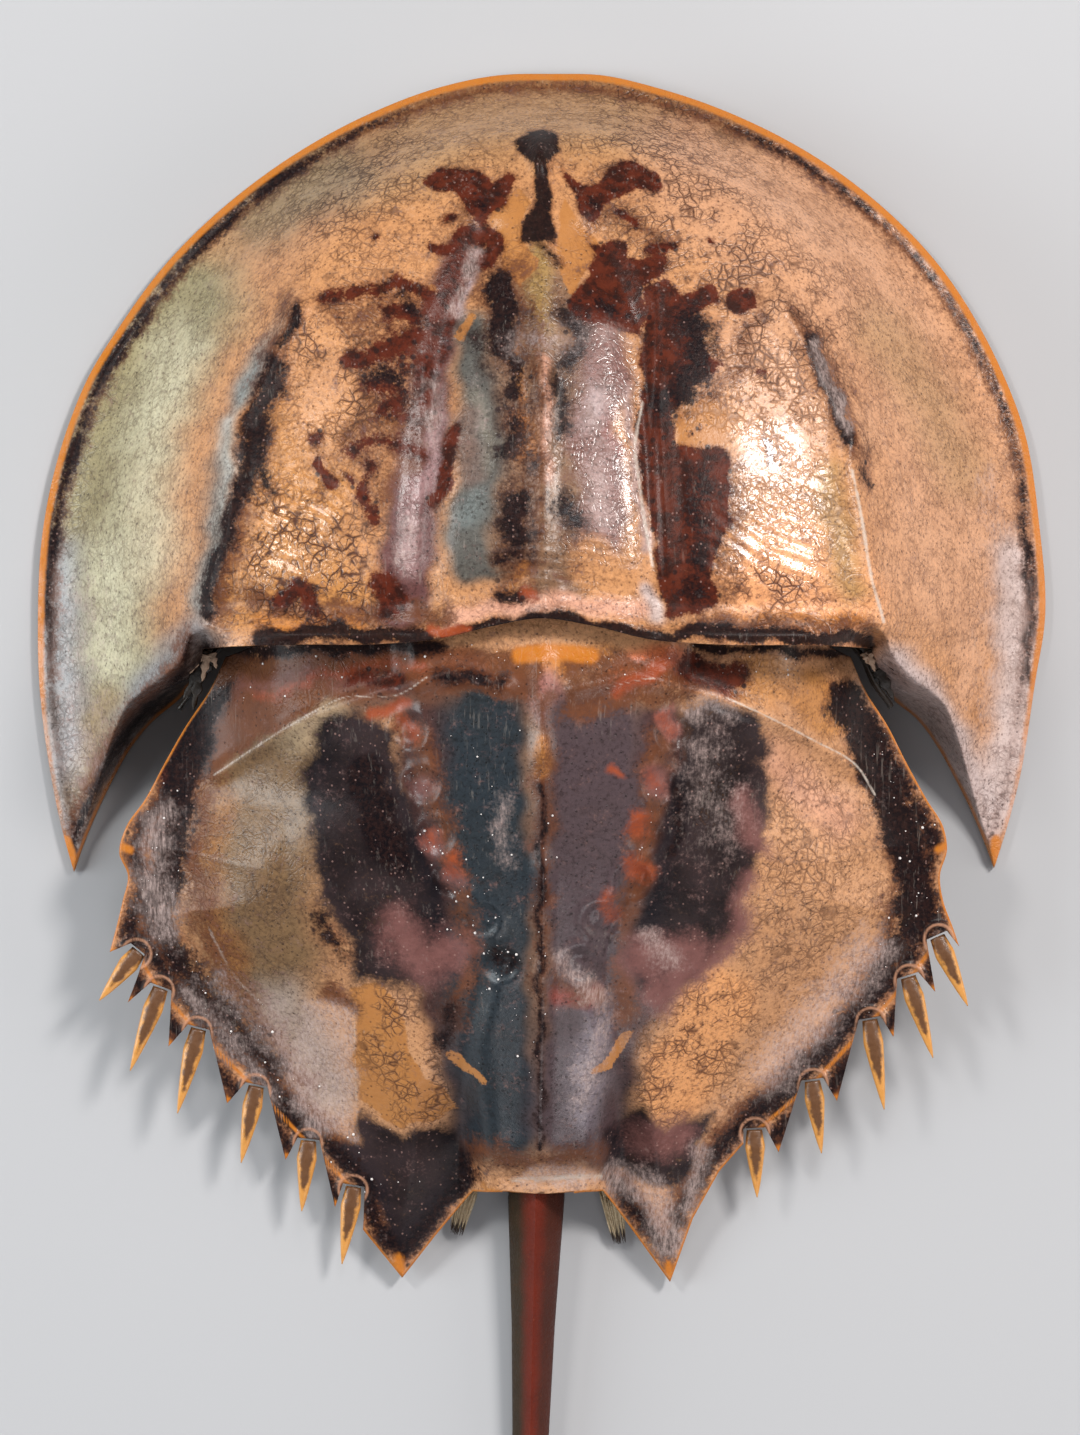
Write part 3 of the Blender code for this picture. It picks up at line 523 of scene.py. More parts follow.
FRONT_TINTS = (
    (SAND, 44, 30, 0.9, ((380, 150), (550, 108), (700, 130))),
    (ROSE_TAN, 80, 40, 0.9, ((720, 170), (870, 300), (940, 420), (960, 560))),
    (SAND, 40, 35, 0.8, ((300, 190), (400, 150))),
    ((0.26, 0.125, 0.05), 12, 14, 0.9, ((250, 190), (330, 136), (430, 100), (548, 84), (660, 96), (760, 140))),
    (SAND, 26, 24, 0.7, ((880, 330), (930, 400), (960, 470))),
    ((0.25, 0.17, 0.09), 34, 26, 0.9, ((330, 170), (250, 214))),
    (SAGE, 52, 34, 1.0, ((190, 300), (150, 360), (100, 480), (95, 600), (120, 700))),
    (CREAM, 24, 28, 0.7, ((180, 350), (150, 450), (150, 560))),
    (CREAM, 26, 30, 0.7, ((110, 560), (110, 660))),
    (TEAL, 7, 12, 0.9, ((292, 318), (262, 360), (236, 400))),
    (TEAL, 8, 16, 0.7, ((216, 470), (212, 540), (196, 615))),
    # A pale blue-grey line down the left eye ridge: partly the ridge's own blue-grey, partly a painted highlight.
    ((0.30, 0.35, 0.345), 8, 10, 0.85, ((230, 420), (224, 510), (200, 606))),
    ((0.22, 0.26, 0.255), 7, 9, 0.8, ((284, 318), (258, 366), (238, 404))),
    # Blue-grey on the left flank and corner: partly a painted sheen.
    (SLATE, 26, 20, 0.9, ((52, 560), (60, 700), (80, 850))),
    (SLATE, 22, 16, 0.9, ((200, 640), (150, 690), (110, 760))),
    (OLIVE, 16, 12, 0.5, ((110, 700), (80, 800))),
    (ORANGE_TAN, 56, 22, 0.95, ((300, 440), (290, 570))),
    (ORANGE_TAN, 30, 20, 0.9, ((240, 600), (340, 600))),
    (TAN, 44, 20, 0.95, ((340, 265), (316, 350), (340, 420))),
    ((0.72, 0.33, 0.15), 44, 24, 0.9, ((790, 560), (760, 600), (840, 600))),
    (ROSE_TAN, 44, 24, 0.9, ((760, 350), (790, 420))),
    ((0.38, 0.22, 0.08), 14, 14, 0.8, ((826, 480), (850, 590))),
    # Pale grey-pink on the right corner: partly a painted sheen.
    ((0.46, 0.36, 0.34), 24, 14, 0.95, ((892, 668), (938, 724), (985, 820))),
    (LILAC, 22, 16, 0.9, ((1012, 560), (1018, 680), (1000, 800))),
    (ROSE_TAN, 14, 12, 0.9, ((985, 520), (975, 600), (965, 690))),
    (TAN, 24, 12, 0.9, ((440, 300), (400, 340), (400, 420))),
    # The middle lobe: bronze under everything, grey and plum on its sides.
    (BRONZE, 60, 12, 0.95, ((543, 330), (540, 430), (536, 560))),
    (PLUM, 20, 8, 1.0, ((458, 262), (440, 320), (430, 390), (424, 450))),
    (PLUM, 27, 8, 1.0, ((424, 440), (412, 520), (402, 606))),
    # Painted highlight along the middle of the plum band.
    (PLUM_HIGHLIGHT, 8, 9, 0.8, ((430, 372), (434, 452), (410, 520), (412, 570))),
    ((0.42, 0.36, 0.40), 5, 6, 0.9, ((478, 252), (466, 290), (456, 312))),
    (LOBE_GREY, 17, 10, 1.0, ((470, 330), (476, 386), (488, 452), (474, 506))),
    (LOBE_GREY, 22, 10, 1.0, ((474, 500), (464, 545), (476, 570))),
    (ASH, 8, 9, 0.6, ((474, 400), (490, 440), (480, 470))),
    ((0.13, 0.085, 0.07), 14, 10, 0.9, ((464, 420), (470, 476))),
    ((0.13, 0.15, 0.145), 10, 8, 0.8, ((480, 496), (466, 520))),
    (OLIVE, 12, 9, 0.95, ((538, 256), (540, 320))),
    (OCHRE, 12, 9, 0.9, ((524, 420), (528, 452))),
    # A thin peach line on the median keel: a painted highlight.
    (PEACH, 4, 5, 0.9, ((546, 360), (547, 480))),
    ((0.21, 0.105, 0.09), 24, 10, 1.0, ((598, 330), (608, 380), (590, 430), (606, 480), (600, 540))),
    # Lighter strokes on the lobe's right side: painted highlights. The thin one also follows the lobe's pale
    # border.
    ((0.38, 0.27, 0.26), 11, 9, 0.9, ((594, 392), (590, 420))),
    ((0.38, 0.26, 0.24), 5, 5, 0.9, ((626, 392), (632, 440), (638, 490), (646, 545))),
    ((0.34, 0.22, 0.20), 12, 10, 0.9, ((592, 470), (602, 515))),
    ((0.25, 0.09, 0.08), 5, 6, 0.8, ((606, 420), (616, 452))),
    (TAN, 22, 9, 0.95, ((590, 556), (606, 584))),
    (PEACH, 9, 7, 0.9, ((450, 618), (510, 606), (560, 602), (640, 612))),
    (TAN, 10, 8, 0.9, ((470, 596), (524, 582))),
    (LILAC, 8, 6, 0.9, ((646, 590), (656, 616))),
    (OCHRE, 8, 5, 0.95, ((262, 624), (360, 620))),
    (OCHRE, 8, 6, 0.9, ((720, 618), (860, 622))),
)
FRONT_MARKS = {
    "gloss": (
        (None, 20, 1.0, ((735, 425), (800, 420), (822, 480), (826, 590), (780, 600), (735, 560))),
        (None, 14, 0.6, ((560, 300), (640, 300), (650, 560), (560, 580))),
        (None, 16, 0.8, ((260, 500), (340, 500), (350, 590), (250, 600))),
        (10, 16, 0.35, ((430, 420), (414, 520), (404, 590))),
    ),
    "umber": (
        (None, 10, 0.60, ((300, 300), (400, 282), (452, 300), (438, 420), (424, 470), (380, 520), (352, 470),
                          (330, 440), (352, 400), (340, 340))),
        (None, 8, 0.62, ((452, 250), (530, 250), (548, 330), (552, 470), (540, 600), (490, 600), (508, 460),
                         (500, 350), (468, 300))),
        (None, 8, 0.36, ((548, 260), (592, 262), (600, 330), (590, 430), (604, 540), (570, 600), (552, 600),
                         (556, 420))),
        (16, 14, 0.8, ((292, 306), (268, 380), (256, 450), (234, 540), (216, 610))),
        (14, 10, 0.8, ((250, 600), (330, 612), (400, 612), (440, 616))),
        (10, 8, 0.8, ((700, 622), (780, 624), (868, 628))),
        (16, 12, 0.75, ((800, 318), (832, 384), (856, 450))),
        (20, 14, 0.6, ((470, 205), (458, 250), (446, 290))),
        (20, 12, 0.6, ((600, 214), (640, 226), (660, 250))),
        (18, 12, 0.6, ((700, 400), (742, 350), (754, 300))),
        (24, 14, 0.55, ((728, 470), (730, 540), (716, 600))),
        (14, 12, 0.6, ((318, 450), (326, 490))),
        (10, 8, 0.8, ((280, 596), (310, 600))),
    ),
    "crazed": (
        (50, 24, 1.0, ((270, 540), (330, 560), (300, 600))),
        (34, 20, 0.8, ((320, 340), (340, 400))),
        (26, 18, 1.0, ((760, 590), (800, 580))),
        (60, 40, 0.75, ((640, 150), (720, 250), (780, 330))),
        (50, 40, 0.7, ((330, 210), (400, 160))),
        (30, 20, 0.7, ((760, 380), (790, 400))),
    ),
    "ochre": (
        (None, 4, 1.0, ((490, 214), (520, 186), (530, 205), (520, 240), (536, 262), (524, 286), (505, 270))),
        (None, 4, 1.0, ((560, 200), (584, 224), (600, 240), (588, 262), (570, 300), (556, 270), (560, 240))),
        (None, 4, 1.0, ((674, 412), (700, 402), (728, 408), (730, 440), (704, 450), (680, 448))),
        (7, 5, 0.9, ((388, 418), (404, 424))),
        (4, 4, 1.0, ((470, 318), (458, 340))),
        (4, 4, 0.9, ((430, 288), (440, 294))),
        (7, 6, 0.8, ((528, 566), (504, 590))),
        (9, 6, 0.8, ((515, 350), (520, 395))),
    ),
    "blotch": (
        (None, 4, 1.0, ((421, 182), (439, 167), (460, 165), (480, 174), (488, 187), (504, 169), (514, 176),
                        (508, 202), (491, 217), (488, 232), (473, 219), (462, 208), (456, 193), (434, 189))),
        (None, 4, 1.0, ((564, 171), (584, 184), (597, 182), (612, 164), (633, 164), (656, 171), (661, 184),
                        (653, 192), (628, 194), (610, 202), (597, 220), (584, 217), (571, 194))),
        (10, 5, 1.0, ((465, 240), (488, 234), (492, 250), (482, 262))),
        (5, 4, 1.0, ((434, 247), (462, 252))),
        (15, 7, 1.0, ((458, 272), (440, 318))),
        (8, 8, 0.9, ((330, 300), (362, 291), (399, 286), (425, 294), (451, 308))),
        (None, 9, 0.50, ((372, 290), (450, 296), (440, 400), (424, 440), (372, 420), (380, 350))),
        (14, 9, 0.8, ((444, 300), (432, 350), (426, 400))),
        (9, 6, 0.9, ((384, 308), (412, 318))),
        (11, 8, 0.95, ((414, 334), (384, 354), (354, 358))),
        (14, 12, 0.75, ((370, 380), (394, 390))),
        (7, 6, 0.9, ((383, 407), (396, 404))),
        (8, 9, 0.85, ((352, 447), (383, 442), (420, 450))),
        (8, 7, 0.85, ((367, 467), (365, 491), (374, 517))),
        (7, 4, 0.9, ((317, 441), (320, 440))),
        (7, 4, 0.9, ((318, 463), (328, 486))),
        (5, 5, 0.9, ((345, 475), (350, 480))),
        (7, 5, 0.95, ((456, 430), (446, 470), (434, 502))),
        (14, 8, 1.0, ((383, 586), (392, 604))),
        (9, 6, 1.0, ((278, 598), (305, 590), (310, 611))),
        (None, 4, 1.0, ((591, 245), (622, 243), (626, 261), (651, 253), (672, 248), (661, 271), (645, 287),
                        (642, 336), (616, 330), (590, 322), (567, 308), (572, 292), (588, 274))),
        (None, 5, 1.0, ((645, 287), (666, 279), (682, 292), (716, 288), (722, 304), (698, 316), (703, 345),
                        (727, 363), (703, 386), (682, 397), (672, 412), (676, 449), (724, 446), (732, 475),
                        (733, 500), (729, 522), (714, 554), (716, 606), (690, 618), (664, 612), (657, 554),
                        (646, 502), (637, 454), (640, 397), (642, 339))),
        (12, 3, 1.0, ((738, 300), (746, 300))),
        (5, 4, 0.8, ((766, 444), (771, 465))),
        (3, 3, 1.0, ((758, 373), (764, 375))),
        (3, 3, 0.9, ((712, 238), (714, 238))),
        (3, 3, 0.9, ((372, 239), (374, 239))),
        (4, 3, 0.9, ((645, 248), (678, 246))),
        (5, 4, 0.9, ((443, 218), (451, 220))),
        (4, 3, 0.9, ((620, 214), (638, 222))),
    ),
    "dusk": (
        (None, 3, 1.0, ((515, 143), (528, 132), (554, 132), (561, 151), (548, 169), (531, 161))),
        (8, 4, 1.0, ((541, 160), (541, 205))),
        (None, 3, 1.0, ((515, 243), (536, 202), (548, 202), (560, 243), (536, 246))),
        (7, 6, 0.75, ((546, 252), (556, 266))),
        (14, 7, 1.0, ((501, 284), (503, 345))),
        (11, 8, 0.85, ((516, 360), (512, 392))),
        (10, 10, 0.75, ((520, 420), (500, 450))),
        (14, 10, 0.9, ((522, 500), (508, 520), (520, 540))),
        (9, 9, 0.8, ((502, 556), (530, 556))),
        (12, 9, 0.8, ((566, 316), (580, 340), (566, 362))),
        (10, 10, 0.75, ((560, 380), (560, 430))),
        (12, 10, 0.8, ((560, 500), (576, 520))),
        (7, 6, 0.9, ((500, 596), (520, 594))),
        (6, 5, 0.9, ((298, 306), (284, 342))),
        (13, 9, 0.95, ((276, 365), (262, 407), (252, 449), (245, 488))),
        (8, 7, 0.95, ((240, 496), (228, 526), (213, 572), (205, 612))),
        (None, 8, 0.44, ((456, 330), (540, 300), (540, 560), (490, 590), (500, 460), (480, 380))),
        (8, 7, 0.85, ((262, 470), (272, 490))),
        # Dark lines along the hinge edge: painted shadow where the front plate overhangs the rear.
        (9, 5, 1.0, ((262, 640), (325, 632), (367, 634), (430, 640))),
        (8, 5, 1.0, ((640, 640), (700, 632), (781, 636), (868, 640))),
        (7, 4, 1.0, ((446, 636), (488, 629), (540, 619), (600, 627), (652, 638))),
        (7, 8, 0.9, ((400, 300), (412, 312))),
        (10, 9, 0.8, ((372, 372), (398, 384))),
        (20, 14, 0.8, ((690, 320), (700, 352), (684, 388), (662, 404))),
        (20, 14, 0.6, ((700, 480), (700, 530), (694, 590))),
        (7, 8, 0.8, ((600, 300), (612, 312))),
        (7, 4, 0.9, ((808, 337), (829, 386), (850, 440))),
        (5, 7, 0.7, ((861, 462), (872, 486))),
        (2, 2, 1.0, ((689, 435), (692, 434))),
        (2, 2, 1.0, ((698, 431), (700, 430))),
        (6, 6, 0.8, ((590, 196), (600, 206))),
        (6, 6, 0.8, ((478, 206), (484, 212))),
        (7, 8, 0.9, ((50, 500), (46, 560), (44, 620))),
        (5, 6, 0.8, ((1022, 520), (1030, 600), (1027, 680))),
        (14, 10, 0.8, ((212, 650), (180, 700), (140, 750))),
        (4, 7, 0.5, ((888, 664), (905, 690))),
    ),
    "amber": (
        (5, 4, 1.0, ((66, 840), (74, 868))),
        (5, 4, 1.0, ((996, 840), (994, 862))),
    ),
    # Pale film on worn skin, and painted sheen and highlights on the lobe, the eye ridges and the flanks.
    "sheen_and_wear": (
        (5, 5, 0.9, ((812, 342), (832, 388), (850, 430))),
        (9, 8, 0.6, ((434, 386), (436, 440))),
        (12, 10, 0.5, ((408, 520), (410, 566))),
        (8, 6, 0.8, ((474, 256), (458, 312))),
        (9, 8, 0.35, ((476, 386), (486, 430))),
        (12, 12, 0.5, ((600, 396), (604, 452))),
        (12, 12, 0.5, ((600, 480), (604, 530))),
        (20, 22, 0.7, ((1012, 600), (1004, 760))),
        (10, 14, 0.6, ((990, 480), (1000, 560))),
        (16, 14, 0.5, ((520, 340), (620, 340))),
        (30, 20, 0.45, ((80, 600), (80, 760))),
    ),
    "pale": (
        # The pale strokes on the eyes and the eye ridges are partly painted highlights on their crests.
        (2, 2, 0.8, ((852, 470), (862, 520), (872, 580), (884, 622))),
        (2, 2, 0.7, ((643, 402), (635, 444), (640, 488), (648, 541), (653, 567))),
        (3, 4, 0.6, ((228, 420), (218, 446))),
        (1.0, 3, 0.5, ((226, 446), (233, 480), (226, 520), (212, 580))),
    ),
    "rust": (
        (5, 4, 0.9, ((470, 632), (430, 628))),
        (6, 5, 0.8, ((524, 592), (530, 596))),
    ),
}
REAR_TINTS = (
    (REAR_TAN, 80, 40, 0.95, ((800, 770), (830, 860), (790, 980), (720, 1060))),
    (PEACH, 18, 20, 0.6, ((770, 760), (840, 820))),
    ((0.66, 0.30, 0.12), 34, 12, 1.0, ((720, 1000), (700, 1040), (672, 1086))),
    ((0.15, 0.06, 0.03), 30, 20, 0.9, ((300, 700), (420, 686), (520, 690))),
    ((0.20, 0.11, 0.05), 20, 20, 0.8, ((280, 760), (300, 860))),
    (REAR_KHAKI, 62, 30, 0.95, ((270, 770), (250, 860), (262, 950))),
    ((0.30, 0.24, 0.20), 30, 20, 0.8, ((280, 1010), (320, 1090))),
    ((0.26, 0.11, 0.03), 14, 12, 0.9, ((222, 800), (212, 850), (216, 920), (236, 966))),
    ((0.36, 0.27, 0.17), 22, 18, 0.7, ((300, 730), (330, 716))),
    ((0.10, 0.032, 0.018), 26, 12, 0.95, ((186, 740), (240, 712), (320, 676), (430, 668))),
    ((0.16, 0.055, 0.025), 14, 10, 0.9, ((240, 700), (270, 690))),
    (RUST, 12, 8, 0.95, ((350, 664), (400, 668), (440, 664), (510, 676))),
    (OCHRE, 7, 6, 0.9, ((290, 702), (312, 696))),
    (OCHRE, 6, 6, 0.9, ((322, 674), (334, 668))),
    (OCHRE, 12, 8, 0.95, ((500, 664), (560, 662), (600, 656))),
    (RUST, 20, 8, 1.0, ((616, 690), (640, 668), (672, 662))),
    (BRICK, 14, 8, 0.95, ((690, 676), (736, 682))),
    (ORANGE_TAN, 22, 8, 1.0, ((752, 676), (800, 690), (836, 716))),
    ((0.34, 0.14, 0.12), 18, 12, 0.9, ((545, 690), (560, 720))),
    (BROWN, 34, 14, 1.0, ((430, 730), (430, 790), (446, 850), (456, 900), (462, 960), (452, 1000))),
    (BROWN, 32, 14, 1.0, ((662, 730), (656, 790), (642, 850), (634, 900), (640, 970), (626, 1010))),
    (BROWN, 22, 12, 1.0, ((446, 1004), (464, 1070), (474, 1140))),
    (BROWN, 20, 12, 1.0, ((626, 1010), (616, 1080), (604, 1150))),
    (AXIS_BLUE, 46, 18, 1.0, ((486, 726), (488, 800), (490, 860))),
    (AXIS_PLUM, 52, 18, 1.0, ((592, 732), (594, 800), (590, 880))),
    (BROWN, 12, 8, 0.9, ((545, 770), (543, 900))),
    (AXIS_BLUE, 44, 18, 1.0, ((500, 880), (492, 960), (496, 1060), (504, 1120))),
    (AXIS_PLUM, 44, 18, 1.0, ((584, 880), (584, 960), (578, 1060), (574, 1120))),
    ((0.16, 0.13, 0.15), 16, 12, 0.9, ((604, 1010), (590, 1060), (584, 1110))),
    (BRICK, 9, 6, 0.95, ((560, 996), (594, 995))),
    (OCHRE, 6, 5, 0.9, ((541, 742), (543, 776))),
)
REAR_MARKS = {
    "gloss": (
        (20, 20, 0.5, ((720, 712), (760, 740))),
        (24, 14, 0.4, ((620, 690), (560, 680))),
    ),
    "umber": (
        (None, 7, 1.0, ((196, 650), (540, 648), (540, 700), (430, 690), (330, 700), (262, 738), (206, 784),
                         (150, 860), (140, 820))),
        (None, 7, 0.8, ((560, 650), (760, 660), (690, 700), (560, 724))),
        (10, 10, 0.7, ((545, 700), (544, 800), (542, 900), (540, 1000))),
        (14, 12, 0.7, ((420, 740), (440, 820), (460, 900), (470, 960), (452, 1020))),
        (16, 12, 0.8, ((660, 740), (650, 820), (636, 900), (628, 960), (622, 1020))),
        (12, 10, 0.7, ((560, 980), (600, 1000))),
        (14, 12, 0.7, ((470, 1150), (540, 1164), (604, 1150))),
        (22, 16, 0.7, ((205, 780), (196, 860), (206, 930), (250, 1010), (300, 1080))),
        (18, 14, 0.7, ((880, 760), (900, 860), (880, 960), (800, 1060))),
        (10, 8, 0.9, ((330, 990), (350, 1004))),
    ),
    "crazed": (
        (34, 12, 1.0, ((390, 1020), (420, 1090))),
        (40, 16, 1.0, ((710, 1020), (670, 1090))),
        (60, 40, 0.6, ((800, 820), (790, 940))),
        (30, 30, 0.35, ((270, 850), (280, 940))),
    ),
    "ochre": (
        (None, 5, 1.0, ((354, 984), (384, 986), (402, 1020), (415, 1060), (457, 1110), (439, 1116), (427, 1119),
                        (402, 1131), (381, 1116), (358, 1100))),
        (None, 2, 1.0, ((592, 1074), (612, 1069), (638, 1029), (624, 1036))),
        (4, 3, 0.9, ((448, 1050), (464, 1063), (479, 1081))),
        (5, 6, 0.9, ((540, 745), (545, 775))),
        (5, 5, 0.8, ((484, 1184), (500, 1190))),
    ),
    "night": (
        (None, 9, 1.0, ((321, 722), (359, 709), (392, 730), (403, 787), (421, 831), (439, 875), (453, 933),
                        (459, 975), (403, 990), (353, 980), (345, 933), (318, 898), (312, 845), (303, 804),
                        (306, 762))),
        (None, 8, 1.0, ((690, 706), (725, 700), (756, 712), (771, 757), (768, 804), (766, 845), (746, 889),
                        (741, 930), (696, 982), (656, 1012), (620, 957), (652, 883), (661, 816), (680, 757))),
        (22, 10, 1.0, ((385, 1156), (410, 1196), (404, 1236))),
        (None, 6, 1.0, ((360, 1109), (381, 1124), (402, 1137), (439, 1121), (461, 1133), (474, 1190),
                        (433, 1225), (402, 1262), (372, 1200), (326, 1151), (357, 1139))),
        (None, 6, 1.0, ((604, 1133), (644, 1104), (666, 1129), (718, 1112), (700, 1151), (686, 1180),
                        (672, 1190), (604, 1168))),
    ),
    "wine": (
        (10, 10, 0.5, ((240, 690), (320, 676), (400, 690))),
        (22, 14, 0.9, ((398, 930), (430, 960), (452, 950))),
        (10, 8, 0.9, ((746, 880), (738, 930), (694, 976))),
        (20, 12, 1.0, ((640, 958), (690, 956), (660, 996))),
        (12, 8, 0.8, ((740, 800), (762, 850))),
        (18, 12, 0.8, ((640, 1140), (680, 1136))),
        (10, 8, 0.9, ((420, 788), (426, 786))),
        (9, 6, 0.9, ((431, 838), (436, 846))),
        (9, 6, 0.9, ((450, 876), (456, 884))),
        (12, 6, 1.0, ((656, 776), (660, 786))),
        (10, 5, 1.0, ((668, 716), (672, 728))),
    ),
    "rust": (
        (6, 8, 0.62, ((258, 700), (300, 684), (350, 668), (420, 664))),
        (11, 9, 0.8, ((640, 820), (640, 830))),
        (11, 9, 0.8, ((632, 866), (642, 870))),
        (8, 8, 0.75, ((606, 898), (612, 914))),
        (9, 8, 0.7, ((453, 860), (456, 874))),
        (9, 8, 0.6, ((430, 832), (436, 842))),
        (9, 9, 0.55, ((652, 776), (662, 786))),
        (9, 9, 0.7, ((666, 716), (672, 728))),
        (10, 9, 0.7, ((400, 722), (410, 736))),
        (8, 6, 0.9, ((620, 690), (660, 664), (672, 658))),
        (5, 4, 0.9, ((614, 772), (620, 776))),
        (6, 5, 0.9, ((372, 712), (410, 706))),
    ),
    "blotch": (
        (14, 12, 0.9, ((196, 716), (178, 760), (170, 820))),
        (10, 8, 0.8, ((350, 676), (400, 684))),
        (14, 10, 0.9, ((690, 668), (736, 678))),
    ),
    "dusk": (
        (18, 10, 1.0, ((206, 706), (190, 750), (178, 800), (170, 850), (160, 900))),
        (18, 14, 0.85, ((150, 900), (170, 950), (220, 1010), (270, 1066))),
        (14, 10, 0.8, ((280, 1100), (310, 1140))),
        (19, 9, 1.0, ((846, 700), (872, 757), (896, 812), (912, 868), (916, 920))),
        (14, 12, 0.9, ((896, 940), (878, 985), (850, 1020), (800, 1075), (762, 1116))),
        (3, 5, 0.95, ((543, 790), (540, 900), (541, 1150))),
        (18, 8, 1.0, ((366, 770), (376, 816), (392, 856))),
        (8, 8, 0.85, ((492, 952), (512, 960))),
        (10, 10, 0.75, ((452, 1010), (440, 1040))),
        # Dark lines along the hinge edge: painted shadow under the front plate's overhang.
        (8, 6, 0.9, ((220, 650), (330, 648), (440, 645))),
        (6, 5, 0.9, ((700, 648), (790, 650), (866, 656))),
        (7, 6, 0.8, ((680, 790), (676, 850))),
        (12, 12, 0.7, ((320, 920), (340, 950))),
        (8, 7, 0.8, ((500, 680), (440, 678))),
        (12, 10, 0.7, ((460, 1160), (470, 1180))),
    ),
    # Pale film on worn skin, and painted sheen on the dark plates and the flanks.
    "sheen_and_wear": (
        (None, 7, 0.95, ((306, 1000), (353, 1004), (356, 1140), (312, 1136), (280, 1080))),
        (20, 18, 0.7, ((270, 1010), (290, 1060))),
        (22, 16, 0.9, ((870, 950), (820, 1010), (770, 1070))),
        (16, 10, 1.0, ((620, 1180), (650, 1190), (668, 1240))),
        (8, 8, 0.9, ((700, 1150), (690, 1210))),
        # A painted highlight on the top of the right dark plate.
        (12, 10, 0.8, ((724, 708), (700, 712))),
        (18, 14, 0.75, ((160, 820), (150, 870), (164, 930))),
        (14, 12, 0.6, ((190, 990), (230, 1040), (270, 1096))),
        (30, 22, 0.42, ((700, 750), (716, 820))),
        (12, 10, 0.7, ((672, 960), (650, 940))),
        (10, 8, 0.8, ((560, 960), (600, 1000))),
        (14, 12, 0.7, ((600, 1030), (580, 1100))),
        (10, 10, 0.6, ((500, 800), (506, 860))),
        (16, 14, 0.5, ((220, 980), (260, 1040))),
        (10, 6, 0.9, ((530, 1178), (590, 1176))),
    ),
    "amber": (
        (3, 3, 1.0, ((478, 1197), (540, 1203), (600, 1196))),
        (6, 5, 0.9, ((398, 1258), (402, 1276))),
        (4, 4, 0.9, ((668, 1264), (670, 1280))),
        (5, 4, 0.8, ((120, 846), (130, 850))),
        (5, 4, 0.8, ((946, 846), (938, 850))),
        (9, 6, 0.9, ((520, 655), (560, 652), (590, 655))),
    ),
    "pale": (
        (1.3, 1.2, 0.62, ((214, 775), (262, 743), (315, 711), (339, 699), (403, 693), (427, 677))),
        (1.2, 1.2, 0.6, ((600, 690), (640, 680), (655, 678))),
        (1.3, 1.2, 0.7, ((725, 697), (760, 713), (813, 740), (857, 766), (875, 795))),
        (1.5, 3, 0.6, ((208, 927), (239, 982), (262, 1004))),
        (1, 2, 0.6, ((354, 1010), (357, 1130))),
        (3, 4, 0.7, ((512, 1180), (600, 1176))),
    ),
}
MARK_ORDER = ("crazed", "gloss", "umber", "ochre", "night", "wine", "blotch", "dusk", "rust", "sheen_and_wear", "amber",
              "arc", "pale")
# How broken and how soft the edge of each painted mark is.
MARK_EDGES = (
    ("umber", 2.2, 0.34), ("ochre", 1.6, 0.12), ("night", 1.6, 0.42), ("wine", 1.9, 0.50), ("blotch", 2.1, 0.20),
    ("dusk", 2.1, 0.26), ("rust", 1.4, 0.35), ("sheen_and_wear", 2.2, 0.40), ("amber", 0.7, 0.25), ("arc", 0.6, 0.25),
    ("pale", 1.0, 0.25),
)
SALT = (
    (14, 8, 1.0, ((418, 780), (424, 790))), (14, 8, 1.0, ((430, 840), (436, 852))),
    (14, 8, 1.0, ((448, 884), (456, 894))), (16, 10, 1.0, ((492, 950), (510, 960))),
    (10, 6, 0.8, ((408, 726), (416, 738))), (8, 6, 0.6, ((656, 780), (640, 850))),
    (30, 26, 0.35, ((470, 900), (500, 960), (520, 1000))),
    (40, 30, 0.12, ((480, 760), (500, 860), (520, 1040))),
    (16, 10, 0.22, ((230, 690), (360, 664), (440, 660), (520, 672))),
    (10, 8, 0.14, ((580, 668), (680, 662), (780, 664), (856, 660))),
    (22, 14, 0.3, ((160, 800), (150, 880), (150, 940))),
    (26, 16, 0.2, ((190, 980), (260, 1060), (320, 1120), (400, 1180))),
    (20, 14, 0.2, ((880, 730), (905, 800), (915, 900), (860, 1010), (790, 1090))),
    (12, 8, 0.2, ((543, 790), (541, 960), (541, 1090))),
)


def seen(x, y, z):
    """Where a place shows in the photograph, in pixels."""
    scale = CAMERA_HEIGHT / (CAMERA_HEIGHT - z) / PIXEL_MM
    return MID_PX + (x - CAMERA_X) * scale, MID_PY - (y - CAMERA_Y) * scale


def wandering(px, py):
    """Moves each pixel place a little by smooth waves, so that no mark has a ruled edge."""
    shift_x = 2.4 * np.sin(py / 11.0 + 1.3 * np.sin(px / 19.0)) + 1.6 * np.sin(py / 5.3 + px / 23.0)
    shift_y = 2.4 * np.sin(px / 12.0 + 1.1 * np.sin(py / 17.0)) + 1.6 * np.sin(px / 6.1 - py / 21.0)
    return px + shift_x, py + shift_y


def stroke_weight(px, py, radius, soft, places):
    places = outline(places, 4 * len(places)) if len(places) > 2 else places
    return step_up(-distance(px, py, places), -(radius + soft), -(radius - soft))


